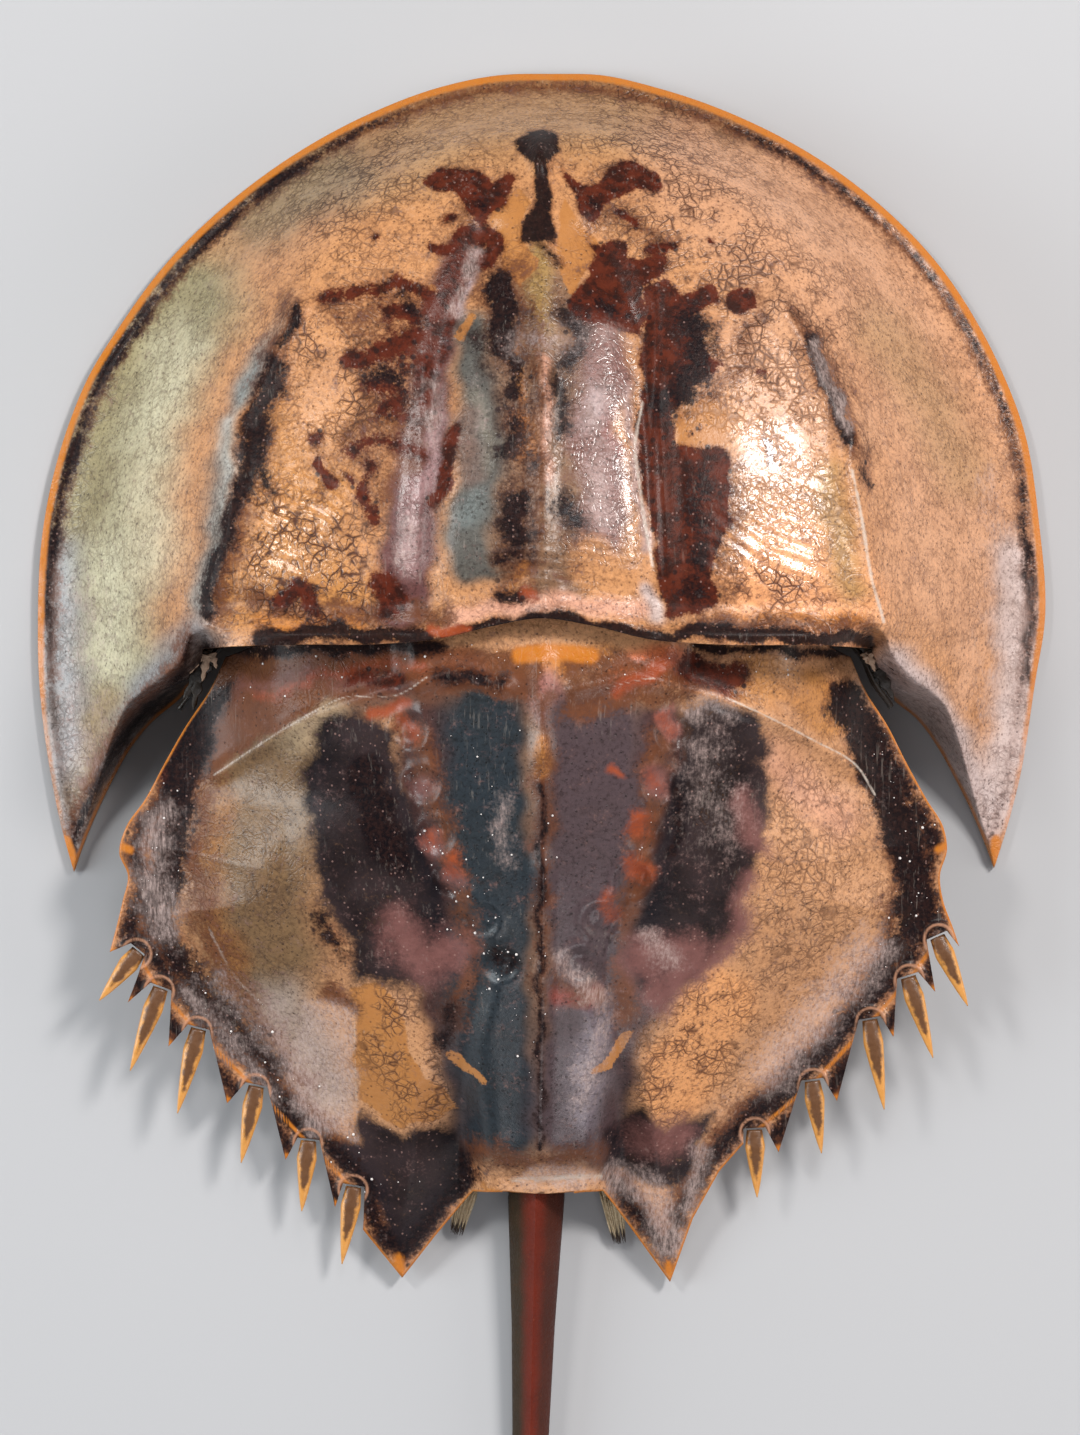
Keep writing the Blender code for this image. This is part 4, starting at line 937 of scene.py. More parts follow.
def soft_field(px, py, radius, soft, places):
    """Half at the mark's edge, one well inside it and nought well outside. An area has no radius."""
    if radius is None:
        ring = [*places, places[0]]
        inside = np.zeros(np.shape(px), bool)
        for (ax, ay), (bx, by) in zip(ring[:-1], ring[1:]):
            if ay != by:
                crosses = (ay > py) != (by > py)
                inside ^= crosses & (px < ax + (py - ay) * (bx - ax) / (by - ay))
        deep = distance(px, py, ring) * np.where(inside, 1, -1)
        return np.clip(0.5 + deep / (2.2 * soft), 0, 1)
    places = outline(places, 4 * len(places)) if len(places) > 2 else places
    return np.clip(0.5 + (radius - distance(px, py, places)) / (2.2 * soft), 0, 1)


def near(value, middle, half, soft):
    """Half at the edge of a band round a middle value, one well inside it and nought well outside."""
    return np.clip(0.5 + (half - np.abs(value - middle)) / (2 * soft), 0, 1)


def most(fields):
    """The strongest of some fields at each place."""
    return np.maximum.reduce(fields)


def front_bands(x, y):
    """Fields that follow the front rim: a clear amber edge and a dark band inside it, and the same along the
    corners' inner edges.
    """
    out = distance(x, y, RIM_LINE)
    flank = 0.25 + 0.75 * step_up(np.abs(x - 4.0), 18, 44)
    low = step_up(-y, -112, -80)
    uneven = 0.82 + 0.18 * np.sin(0.35 * y + 1.7 * np.sin(0.11 * x)) - 0.10 * step_up(x, 20, 70)
    shoulder = 0.8 + 1.0 * step_up(-x, 18, 55) * step_up(y, 105, 140)
    inner = np.minimum(distance(x, y, LEFT_INNER_LINE), distance(x, y, RIGHT_INNER_LINE))
    outward = step_up(np.abs(x), 69, 72)
    right_side = step_up(x, 0, 40)
    return {
        "amber": np.maximum(near(out, 0.2, 1.2, 0.8) * (1 - 0.55 * low),
                            near(inner, 0.0, 0.6, 0.4) * outward * 0.8),
        "dusk": np.maximum(near(out, 2.7, shoulder, 1.5) * flank * uneven * (1 - 0.5 * low) * 0.9,
                           near(inner, 2.2, 1.2, 1.0) * outward * (0.75 - 0.62 * right_side)),
        "umber": np.maximum(near(out, 3.2, 1.6, 2.2) * (1 - 0.7 * low) * 0.85,
                            near(inner, 3.4, 2.4, 2.0) * outward * (0.8 - 0.7 * right_side)),
    }



def rear_bands(x, y):
    """Fields that follow the rear edge: thin amber points, dark speckled margin and pale arcs at the sockets."""
    out = distance(x, y, REAR_LINE)
    arcs = most([near(np.hypot(x - px, y - py), 3.0, 0.25, 0.5) for px, py in LEFT_NOTCHES + RIGHT_NOTCHES])
    tips = most([near(np.hypot(x - px, y - py), 0.0, 1.6, 0.9) for px, py in LEFT_POINTS + RIGHT_POINTS])
    back = step_up(-y, -100, -92)
    middle = step_up(-np.abs(x), -16, -10)
    return {
        "amber": np.maximum(near(out, 0.0, 0.45, 0.4) * back * 0.8, tips * 0.8),
        "dusk": near(out, 3.0, 1.8, 2.2) * back * (1 - middle) * 0.9,
        "umber": near(out, 4.0, 3.4, 2.4) * back * (1 - middle) * 0.9,
        "arc": arcs,
    }


def points_of(mesh):
    """The mesh's points in metres, one row each."""
    place = np.empty(len(mesh.vertices) * 3, np.float32)
    mesh.vertices.foreach_get("co", place)
    return place.reshape(-1, 3)


def store(mesh, name, field):
    """Keeps a number for each point as a named attribute."""
    mesh.attributes.new(name, "FLOAT", "POINT").data.foreach_set("value", field.astype(np.float32))


def paint(made, base, tints, masks, outer, bands):
    """Writes the plate's tint and marks as attributes of its points. outer gives the height that is outside."""
    mesh = made.data
    x, y, z = points_of(mesh).T / MM
    true_places = seen(x, y, z)
    moved_places = wandering(*true_places)
    colour = np.tile(np.array(base), (len(x), 1))
    for tint, radius, soft, strength, places in tints:
        weight = stroke_weight(*moved_places, radius, soft, places)[:, None] * strength
        colour += (np.array(tint) - colour) * weight
    shown = step_up(z, outer(x, y) - PAINTED_DEPTH, outer(x, y) - PAINTED_SOFT)
    colour = UNDERSIDE + (colour - UNDERSIDE) * shown[:, None]
    tint_data = mesh.attributes.new("tint", "FLOAT_COLOR", "POINT")
    tint_data.data.foreach_set("color", np.column_stack([colour, np.ones(len(x))]).astype(np.float32).ravel())
    banded = bands(x, y)
    for name in MARK_ORDER:
        field = banded.get(name, np.zeros(len(x)))
        at = true_places if name in ("amber", "pale") else moved_places
        for radius, soft, strength, places in masks.get(name, ()):
            field = np.maximum(field, soft_field(*at, radius, soft, places) * strength)
        store(mesh, name, field * shown)
    store(mesh, "outside", shown)



class Nodes:
    """A short way to write node trees: n(type, inputs by name or number, settings by name)."""

    def __init__(self, tree):
        self.tree = tree
        self.count = 0

    def __call__(self, kind, inputs=None, **settings):
        node = self.tree.nodes.new(kind)
        node.location = (220 * (self.count % 12), -260 * (self.count // 12))
        self.count += 1
        for key, value in settings.items():
            setattr(node, key, value)
        for key, value in (inputs or {}).items():
            where = node.inputs[key]
            if isinstance(value, bpy.types.NodeSocket):
                self.tree.links.new(value, where)
            else:
                where.default_value = value
        return node

    def math(self, operation, a, b=0.0, c=0.0, clamp=False):
        return self("ShaderNodeMath", {0: a, 1: b, 2: c}, operation=operation, use_clamp=clamp).outputs[0]

    def mix(self, factor, a, b, blend="MIX"):
        node = self("ShaderNodeMix", data_type="RGBA", blend_type=blend)
        for where, value in ((node.inputs[0], factor), (node.inputs[6], a), (node.inputs[7], b)):
            if isinstance(value, bpy.types.NodeSocket):
                self.tree.links.new(value, where)
            else:
                where.default_value = value if isinstance(value, (int, float)) else (*value[:3], 1.0)
        return node.outputs[2]

    def ramp(self, value, low, high, to_low=0.0, to_high=1.0):
        return self("ShaderNodeMapRange", {0: value, 1: low, 2: high, 3: to_low, 4: to_high},
                    interpolation_type="SMOOTHSTEP").outputs[0]

    def noise(self, vector, scale, detail=4.0, rough=0.55):
        return self("ShaderNodeTexNoise", {"Vector": vector, "Scale": scale, "Detail": detail,
                                           "Roughness": rough}).outputs["Fac"]

    def drawn_out(self, vector, share):
        """A vector that stretches what is made from it along the body, a little turned."""
        return self("ShaderNodeMapping", {"Vector": vector, "Rotation": (0.0, 0.0, SCRATCH_ANGLE),
                                          "Scale": (1.0, share, 1.0)}).outputs[0]

    def named(self, name, kind="FLOAT"):
        """A point attribute, in a geometry tree."""
        return self("GeometryNodeInputNamedAttribute", {"Name": name}, data_type=kind).outputs["Attribute"]

    def position(self):
        """The three parts of a point's place, in a geometry tree."""
        return self("ShaderNodeSeparateXYZ", {0: self("GeometryNodeInputPosition").outputs[0]}).outputs

    def point(self, x, y, z):
        return self("ShaderNodeCombineXYZ", {0: x, 1: y, 2: z}).outputs[0]

    def painted(self, name):
        """A point attribute, in a material."""
        return self("ShaderNodeAttribute", attribute_name=name).outputs["Fac"]

    def spot(self):
        """The place on the object."""
        return self("ShaderNodeTexCoord").outputs["Object"]

    def shaded(self, factor, colour, share, source=None):
        """Mixes in a colour times a share of each channel: the colour itself, or another source."""
        return self.mix(factor, colour, self.mix(1.0, colour if source is None else source, share, "MULTIPLY"))

    def times(self, value, *shares):
        for share in shares:
            value = self.math("MULTIPLY", value, share)
        return value


def crackle(n, given):
    """Fine branching cracks."""
    drift = n("ShaderNodeTexNoise", {"Vector": given["Vector"], "Scale": 180.0, "Detail": 3.0}).outputs["Color"]
    shift = n("ShaderNodeVectorMath", {0: drift, 1: (0.5, 0.5, 0.5)}, operation="SUBTRACT").outputs[0]
    wander = n("ShaderNodeVectorMath", {0: shift, "Scale": 0.0028}, operation="SCALE").outputs[0]
    where = n("ShaderNodeVectorMath", {0: given["Vector"], 1: wander}, operation="ADD").outputs[0]
    lines = []
    for share, weight in ((1.0, 1.0), (1.9, 0.7)):
        scale = n.times(given["Scale"], share)
        cell = n("ShaderNodeTexVoronoi", {"Vector": where, "Scale": scale}, feature="DISTANCE_TO_EDGE")
        lines.append(n.ramp(cell.outputs["Distance"], 0.0, given["Width"], weight, 0.0))
    gaps = n.ramp(n.noise(given["Vector"], 150.0, 4.0, 0.65), 0.40, 0.54)
    return n.times(n.math("MAXIMUM", *lines), gaps)


def ragged(n, given):
    """Gives a soft painted field a crisp, broken edge."""
    coarse = n.noise(given["Vector"], 260.0, 6.0, 0.68)
    fine = n.noise(given["Vector"], 1500.0, 2.0, 0.6)
    both = n.math("ADD", n.times(coarse, 0.66), n.times(fine, 0.34))
    push = n.times(n.math("SUBTRACT", both, 0.5), given["Raggedness"])
    value = n.math("ADD", given["Field"], push)
    return n.ramp(value, n.math("SUBTRACT", 0.5, given["Softness"]), n.math("ADD", 0.5, given["Softness"]))


def speckle(n, given):
    """Small round specks, some present and some not."""
    cell = n("ShaderNodeTexVoronoi", {"Vector": given["Vector"], "Scale": given["Scale"]}, feature="F1")
    chance = n("ShaderNodeSeparateColor", {0: cell.outputs["Color"]}).outputs[0]
    dot = n.ramp(cell.outputs["Distance"], n.times(given["Size"], 0.6), given["Size"], 1.0, 0.0)
    return n.times(dot, n.math("LESS_THAN", chance, given["Amount"]))


def scuff(n, given):
    """Fine scratches along the body, as left by sand."""
    lines = n.noise(n.drawn_out(given["Vector"], 0.06), 1400.0, 3.0, 0.7)
    patches = n.noise(given["Vector"], 45.0, 4.0, 0.6)
    return n.times(n.ramp(lines, 0.56, 0.70), n.ramp(patches, 0.46, 0.62))


# Shader node groups that materials share: what builds each one, and the defaults of its inputs.
EFFECTS = {
    "Crackle": (crackle, {"Scale": 260.0, "Width": 0.10}),
    "Ragged edge": (ragged, {"Field": 0.0, "Raggedness": 1.6, "Softness": 0.12}),
    "Speckle": (speckle, {"Scale": 900.0, "Amount": 0.2, "Size": 0.32}),
    "Scuff": (scuff, {}),
}


def effect(n, name, at, **values):
    """The mask of a shared node group, which is built when it is first asked for."""
    tree = bpy.data.node_groups.get(name)
    if not tree:
        build, defaults = EFFECTS[name]
        tree = bpy.data.node_groups.new(name, "ShaderNodeTree")
        tree.interface.new_socket(name="Vector", in_out="INPUT", socket_type="NodeSocketVector")
        for label, default in defaults.items():
            socket = tree.interface.new_socket(name=label, in_out="INPUT", socket_type="NodeSocketFloat")
            socket.default_value = default
        tree.interface.new_socket(name="Mask", in_out="OUTPUT", socket_type="NodeSocketFloat")
        inner = Nodes(tree)
        mask = build(inner, inner("NodeGroupInput").outputs)
        tree.links.new(mask, inner("NodeGroupOutput").inputs["Mask"])
    return n("ShaderNodeGroup", {"Vector": at, **values}, node_tree=tree).outputs[0]


def new_material(name):
    made = bpy.data.materials.new(name)
    made.use_nodes = True
    made.node_tree.nodes.clear()
    return made, Nodes(made.node_tree)


def finish_material(n, colour, roughness, height, strength, coat=0.0, specular=0.36):
    bump = n("ShaderNodeBump", {"Height": height, "Strength": strength, "Distance": 0.0006}).outputs[0]
    shader = n("ShaderNodeBsdfPrincipled", {"Base Color": colour, "Roughness": roughness, "Normal": bump,
                                            "Specular IOR Level": specular, "Coat Weight": coat,
                                            "Coat Normal": bump})
    shader.inputs["IOR"].default_value = 1.5
    shader.inputs["Coat Roughness"].default_value = 0.15
    n("ShaderNodeOutputMaterial", {"Surface": shader.outputs[0]})


def chitin(name, settings, crack_amount=1.0, gloss=0.30):
    """Dried shell: painted tints and marks with crisp broken edges, some of them painted highlights, sheen and
    shadow, with crackle, specks, scuffs and relief.
    """
    made, n = new_material(name)
    at = n.spot()
    tint = n("ShaderNodeAttribute", attribute_name="tint").outputs["Color"]
    field = {key: n.painted(key) for key in (*MARK_ORDER, "outside")}
    cloud = n.noise(at, 70.0, 6.0, 0.62)
    grain = n.noise(at, 1100.0, 3.0, 0.75)
    blotchy = n.noise(at, 300.0, 5.0, 0.7)
    base = tint
    for noise, low, high, most, share in (
        (cloud, 0.42, 0.70, 0.5, (0.62, 0.55, 0.48)),
        (blotchy, 0.50, 0.68, 0.35, (0.45, 0.36, 0.30)),
        (grain, 0.51, 0.66, 0.62, (0.30, 0.24, 0.22)),
        (grain, 0.48, 0.34, 0.35, (1.45, 1.40, 1.35)),
    ):
        base = n.shaded(n.ramp(noise, low, high, 0.0, most), base, share, tint)

    mask = {key: effect(n, "Ragged edge", at, Field=field[key], Raggedness=raggedness, Softness=softness)
            for key, raggedness, softness in MARK_EDGES}
    speckled = n.math("MAXIMUM", field["blotch"], field["dusk"])
    marked = n.math("MAXIMUM", n.math("MAXIMUM", mask["blotch"], mask["dusk"]), mask["night"])
    crazed = n.math("ADD", 0.45, n.times(field["crazed"], 0.9))
    light = n.ramp(n("ShaderNodeRGBToBW", {0: tint}).outputs[0], 0.04, 0.14)
    crack = n.times(effect(n, "Crackle", at, Scale=400.0, Width=0.13), field["outside"], crazed,
                    n.math("SUBTRACT", 1.0, marked), crack_amount, light)
    sparkle = effect(n, "Speckle", at, Scale=1250.0, Amount=0.11, Size=0.34)
    specks = effect(n, "Speckle", at, Scale=1000.0, Amount=0.28, Size=0.32)
    dots = effect(n, "Speckle", at, Scale=420.0, Amount=0.5, Size=0.30)

    colour = n.mix(n.times(mask["ochre"], 0.92), base, n.mix(blotchy, (0.34, 0.125, 0.028), ORANGE_TAN))
    umber = n.mix(blotchy, (0.05, 0.018, 0.011), (0.19, 0.065, 0.026))
    colour = n.mix(n.times(mask["umber"], 0.93), colour, umber)
    colour = n.shaded(n.times(specks, 0.6), colour, (0.14, 0.10, 0.09))
    colour = n.shaded(n.times(crack, 0.85), colour, (0.16, 0.10, 0.07))
    halo = n.times(n.ramp(speckled, 0.0, 0.55, 0.0, 0.6), n.ramp(blotchy, 0.35, 0.55))
    colour = n.shaded(halo, colour, (0.36, 0.22, 0.17))
    for key, most, look in (
        ("night", 0.985, n.mix(n.ramp(cloud, 0.35, 0.65), settings.night, settings.night_light)),
        ("wine", 0.85, n.mix(blotchy, (0.10, 0.036, 0.032), (0.27, 0.12, 0.105))),
        ("blotch", 0.985, n.mix(n.ramp(blotchy, 0.40, 0.62), settings.maroon, settings.maroon_deep)),
        ("dusk", 0.98, n.mix(n.ramp(grain, 0.40, 0.65), settings.near_black_and_shade, settings.grained_black_and_shade)),
        ("rust", 0.85, n.mix(blotchy, (0.16, 0.026, 0.012), (0.42, 0.085, 0.025))),
    ):
        colour = n.mix(n.times(mask[key], most), colour, look)
    streaks = n.noise(n.drawn_out(at, 0.16), 1700.0, 4.0, 0.75)
    scuffs = effect(n, "Scuff", at)
    for factor, look in (
        (n.times(n.ramp(speckled, 0.06, 0.40), dots, 0.85), settings.grained_black_and_shade),
        (n.times(sparkle, field["outside"], marked, 0.42), (0.34, 0.20, 0.17)),
        # Pale film on worn skin and painted sheen, drawn out in streaks.
        (n.times(mask["sheen_and_wear"], n.ramp(streaks, 0.30, 0.74, 0.10, 0.70)), settings.sheen_and_wear_colour),
        (n.times(mask["amber"], 0.92), n.mix(grain, settings.amber, (0.50, 0.19, 0.026))),
        (n.times(mask["arc"], 0.7), (0.50, 0.25, 0.15)),
        (n.times(mask["pale"], 0.75), settings.scratch),
        (n.times(scuffs, 0.12), settings.scratch),
    ):
        colour = n.mix(factor, colour, look)

    rough = n.math("ADD", n.ramp(cloud, 0.3, 0.75, gloss - 0.06, gloss + 0.08), n.times(crack, 0.2))
    height = n.math("SUBTRACT", n.times(grain, 0.35), n.times(crack, 0.8))
    height = n.math("ADD", height, n.times(blotchy, 0.6))
    height = n.math("ADD", height, n.times(specks, -0.3))
    wet = n.ramp(n.math("ADD", field["gloss"], n.times(n.math("SUBTRACT", blotchy, 0.5), 0.8)), 0.3, 0.8)
    coat = n.times(wet, n.math("SUBTRACT", 1.0, n.times(crack, 0.9)))
    dull = n.math("MAXIMUM", marked, n.times(mask["umber"], 0.7))
    finish_material(n, colour, rough, height, 0.30, coat, n.math("SUBTRACT", 0.34, n.times(dull, 0.27)))
    return made


def spine_material():
    """Loose spines: a dark core that thins to a clear amber edge and tip."""
    made, n = new_material("Spine chitin")
    at = n.spot()
    grain = n.noise(at, 900.0, 4.0, 0.7)
    push = n.times(n.math("SUBTRACT", n.noise(at, 500.0, 5.0, 0.65), 0.5), 1.3)
    dark = n.ramp(n.math("ADD", n.painted("core"), push), 0.18, 0.66)
    edge = n.mix(grain, (0.50, 0.19, 0.03), (0.62, 0.31, 0.085))
    colour = n.mix(n.times(dark, 0.92), edge, n.mix(grain, (0.032, 0.014, 0.009), (0.11, 0.045, 0.022)))
    finish_material(n, colour, n.ramp(grain, 0.3, 0.7, 0.28, 0.42), grain, 0.25, 0.15)
    return made


def tail_material():
    """Tail: dark green-brown left face, maroon keel whose lighter red is partly a painted highlight, and brown
    right face, all finely grained.
    """
    made, n = new_material("Tail chitin")
    at = n.spot()
    cloud = n.noise(at, 90.0, 5.0, 0.6)
    grain = n.noise(at, 1100.0, 4.0, 0.7)
    push = n.times(n.math("SUBTRACT", n.noise(at, 300.0, 4.0), 0.5), 0.25)
    side = n.math("ADD", n.painted("across"), push)
    left = n.mix(cloud, (0.014, 0.009, 0.005), (0.050, 0.030, 0.015))
    # The keel's lighter maroon is partly a painted highlight.
    keel = n.mix(cloud, (0.15, 0.020, 0.009), (0.065, 0.011, 0.007))
    right = n.mix(cloud, (0.085, 0.020, 0.011), (0.030, 0.010, 0.007))
    colour = n.mix(n.ramp(side, -0.70, -0.15), left, keel)
    colour = n.mix(n.ramp(side, 0.10, 0.55), colour, right)
    colour = n.mix(n.ramp(grain, 0.60, 0.72, 0.0, 0.18), colour, (0.32, 0.10, 0.05))
    colour = n.mix(n.ramp(grain, 0.40, 0.30, 0.0, 0.5), colour, (0.02, 0.012, 0.01))
    height = n.math("ADD", grain, n.times(n.noise(at, 2200.0, 2.0), 0.4))
    finish_material(n, colour, n.ramp(grain, 0.3, 0.7, 0.34, 0.52), height, 0.35, 0.0, 0.08)
    return made


def bristle_material():
    """Bristles: cream with dark tips."""
    made, n = new_material("Bristle")
    grain = n.noise(n.spot(), 1200.0, 2.0, 0.6)
    cream = n.mix(grain, (0.40, 0.27, 0.14), (0.80, 0.68, 0.46))
    tip = n.ramp(n.math("ADD", n.painted("run"), n.times(grain, 0.2)), 0.86, 1.02)
    finish_material(n, n.mix(tip, cream, (0.05, 0.03, 0.02)), 0.55, grain, 0.1)
    return made


def plain_material(name, light, dark, rough, scale, strength):
    """Two colours mixed by a fine grain."""
    made, n = new_material(name)
    grain = n.noise(n.spot(), scale, 5.0, 0.65)
    finish_material(n, n.mix(grain, dark, light), n.ramp(grain, 0.3, 0.7, rough - 0.08, rough + 0.08), grain,
                    strength)
    return made


def shade(name, description, default):
    """A colour that the panel's settings hold."""
    return FloatVectorProperty(name=name, description=description, subtype="COLOR", default=default, min=0, max=1)


class CrabColours(bpy.types.PropertyGroup):
    """Colours of the dried shell."""
    maroon: shade("Maroon", "Dark red patches", (0.085, 0.016, 0.008))
    maroon_deep: shade("Deep maroon", "Darkest part of the patches", (0.026, 0.008, 0.006))
    # These two colours also paint the shadow lines along the hinge.
    near_black_and_shade: shade("Soot", "Near-black marks", (0.006, 0.004, 0.005))
    grained_black_and_shade: shade("Worn soot", "Lighter grain in the dark marks", (0.020, 0.009, 0.008))
    amber: shade("Amber", "Thin clear edge of the shell", (0.44, 0.11, 0.008))
    scratch: shade("Scratch", "Pale worn lines", (0.55, 0.47, 0.40))
    night: shade("Night", "Dark plates of the rear shell", (0.007, 0.006, 0.008))
    night_light: shade("Worn night", "Lighter clouds on the dark plates", (0.026, 0.018, 0.020))
    # The colour of the pale film on worn skin and of the painted sheen and highlights.
    sheen_and_wear_colour: shade("Film", "Thin pale film on worn skin", (0.50, 0.375, 0.34))
    floor: shade("Floor", "Plain pale floor", (0.40, 0.40, 0.41))


class CrabSizes(bpy.types.PropertyGroup):
    """Finenesses of the modelled surface."""
    rim_columns: IntProperty(name="Rim columns", description="Faces round the front rim", default=440, min=60)
    dome_rows: IntProperty(name="Dome rows", description="Faces from rim to hinge", default=180, min=20)
    edge_splits: IntProperty(name="Edge splits", description="Faces on each run of the rear edge",
                             default=8, min=1)
    rear_rows: IntProperty(name="Rear rows", description="Faces from hinge to tail edge", default=210, min=20)
    bristles: IntProperty(name="Bristles", description="Bristles in each tuft", default=150, min=10)
    grains: FloatProperty(name="Grains", description="Salt grains on a square metre of the most salted skin",
                          default=260000.0, min=0)


def ready(made, node, look=None):
    """Gives a piece its finish, hangs it on the root body and hides the CAD part that it stands for."""
    if look:
        made.data.materials.clear()
        made.data.materials.append(look)
    made.data.shade_smooth()
    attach(made, "root")
    if node:
        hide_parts(node)


class CRAB_OT_front(bpy.types.Operator):
    """Build the domed front shell"""
    bl_idname = "crab.front_shell"
    bl_label = "Front shell"

    def execute(self, context):
        sizes, colours = context.scene.crab_sizes, context.scene.crab_colours
        plan = front_plan(RIM, LEFT_INNER, RIGHT_INNER, HINGE)
        body = slab("front_plate", sizes.rim_columns, sizes.dome_rows, plan, front_fine, lambda x, y: 0 * x, True)

        rim = inset(outline(RIM, 60), RIM_INSET)[3:-3]
        left = inset(outline(LEFT_INNER, 16), CORNER_INSET)[:11]
        right = inset(outline(RIGHT_INNER, 16), -CORNER_INSET)[:11]
        hinge = np.array(HINGE) - (0.0, HINGE_INSET)
        hinge[0], hinge[-1] = left[0], right[0]
        rim[0], rim[-1] = left[-1] - (1.0, 0.4), right[-1] + (1.0, -0.4)

        def roof(x, y):
            return np.maximum(under_wall(front_height, x, y, WALL), RIM_FLOOR + 0.15)

        dome = slab("front hollow", 100, 36, front_plan(rim, left, right, hinge), roof,
                    lambda x, y: 0 * x + RIM_FLOOR)
        ring = outline(RIM, 90)
        width = MOUTH_SIDE + (MOUTH_FRONT - MOUTH_SIDE) * step_up(ring[:, 1], 150, 215)
        mouth = inset(ring, width)
        mouth = np.concatenate([mouth[mouth[:, 1] > MOUTH_REAR], MOUTH_ENDS])
        opening = prism("front mouth", mouth, CUT_FLOOR, RIM_FLOOR + 0.6)
        doorway = prism("front doorway", DOORWAY, CUT_FLOOR, DOOR_TOP)
        baked(body, (dome, opening, doorway))
        paint(body, TAN, FRONT_TINTS, FRONT_MARKS, front_fine, front_bands)
        settle(body)
        ready(body, "front_shell", chitin("Front chitin", colours))
        return {"FINISHED"}


class CRAB_OT_rear(bpy.types.Operator):
    """Build the spiny rear shell"""
    bl_idname = "crab.rear_shell"
    bl_label = "Rear shell"

    def execute(self, context):
        sizes, colours = context.scene.crab_sizes, context.scene.crab_colours
        plan, runs = rear_plan()
        body = slab("rear_plate", runs * sizes.edge_splits, sizes.rear_rows, plan, rear_fine,
                    lambda x, y: low_edge(y), True)

        def hollow(u, v):
            x, y = plan(HOLLOW_ACROSS[0] + HOLLOW_ACROSS[1] * u, HOLLOW_ALONG[0] + HOLLOW_ALONG[1] * v)
            return np.stack([x * HOLLOW_NARROW, y])

        def roof(x, y):
            return np.maximum(under_wall(rear_height, x, y, REAR_WALL), low_edge(y) + 0.3)

        inside = slab("rear hollow", 90, 36, hollow, roof, lambda x, y: low_edge(y) - HOLLOW_DEPTH)
        rear, front = TUNNEL_RUN
        corners = ((-1, rear), (1, rear), (1, front), (-1, front))
        sides = [(TAIL_ROOT[0] + side * TUNNEL_HALF, y) for side, y in corners]
        tunnel = prism("tail tunnel", sides, CUT_FLOOR, TUNNEL_TOP)
        baked(body, (inside, tunnel))
        paint(body, REAR_TAN, REAR_TINTS, REAR_MARKS, rear_fine, rear_bands)
        ready(body, "rear_shell", chitin("Rear chitin", colours, 0.8, 0.33))
        return {"FINISHED"}


def node_tree(name, inputs, build):
    """A geometry node tree, built once: inputs are (name, kind) pairs and build(n, given) returns its result."""
    tree = bpy.data.node_groups.get(name)
    if tree:
        return tree
    tree = bpy.data.node_groups.new(name, "GeometryNodeTree")
    for label, kind in (("Geometry", "NodeSocketGeometry"), *inputs):
        tree.interface.new_socket(name=label, in_out="INPUT", socket_type=kind)
    tree.interface.new_socket(name="Geometry", in_out="OUTPUT", socket_type="NodeSocketGeometry")
    n = Nodes(tree)
    result = build(n, n("NodeGroupInput").outputs)
    tree.links.new(result, n("NodeGroupOutput").inputs["Geometry"])
    return tree


def grown(made, tree, values):
    """Runs a node tree on an object, with its inputs set by name, and keeps the result as plain mesh."""
    modifier = made.modifiers.new("Grow", "NODES")
    modifier.node_group = tree
    for item in tree.interface.items_tree:
        if item.in_out == "INPUT" and item.name in values:
            modifier[item.identifier] = values[item.name]
    return baked(made)


def grow(name, tree, values, points=(), attributes=None):
    """A new object that a node tree makes, from loose points with values where it needs them."""
    mesh = bpy.data.meshes.new(name)
    mesh.from_pydata([Vector(place) * MM for place in points], [], [])
    for key, (kind, data) in (attributes or {}).items():
        attribute = mesh.attributes.new(key, kind, "POINT")
        field = "vector" if kind == "FLOAT_VECTOR" else "value"
        attribute.data.foreach_set(field, np.array(data, np.float32).ravel())
    return grown(linked(name, mesh), tree, values)


def kept(n, geometry, name, value):
    """Stores a field as a named attribute of the points."""
    return n("GeometryNodeStoreNamedAttribute", {"Geometry": geometry, "Name": name, "Value": value},
             data_type="FLOAT").outputs[0]


def settle(made):
    """Presses the highest knobs down and keeps the edge in, so that the plate stays inside the CAD box."""
    place = points_of(made.data)
    low, high = np.array(CAD_BOX)
    top, knee = place[:, 2].max(), PRESSED_FROM * MM
    if top > high[2]:
        raised = place[:, 2] > knee
        place[raised, 2] = knee + (place[raised, 2] - knee) * (high[2] - knee) / (top - knee)
    made.data.vertices.foreach_set("co", np.clip(place, low, high).astype(np.float32).ravel())
    made.data.update()


def finished(n, geometry, look):
    """The end of every tree: instances made real, and the finish set."""
    real = n("GeometryNodeRealizeInstances", {"Geometry": geometry})
    return n("GeometryNodeSetMaterial", {"Geometry": real.outputs[0], "Material": look}).outputs[0]


def table_field(n, table, at):
    """A table of (place, value) pairs as nodes, with straight lines between its pairs."""
    rows = sorted(table)
    total = rows[0][1]
    for (a, low), (b, high) in zip(rows[:-1], rows[1:]):
        part = n("ShaderNodeMapRange", {0: at, 1: a, 2: b, 3: 0.0, 4: high - low}).outputs[0]
        total = n.math("ADD", total, part)
    return total


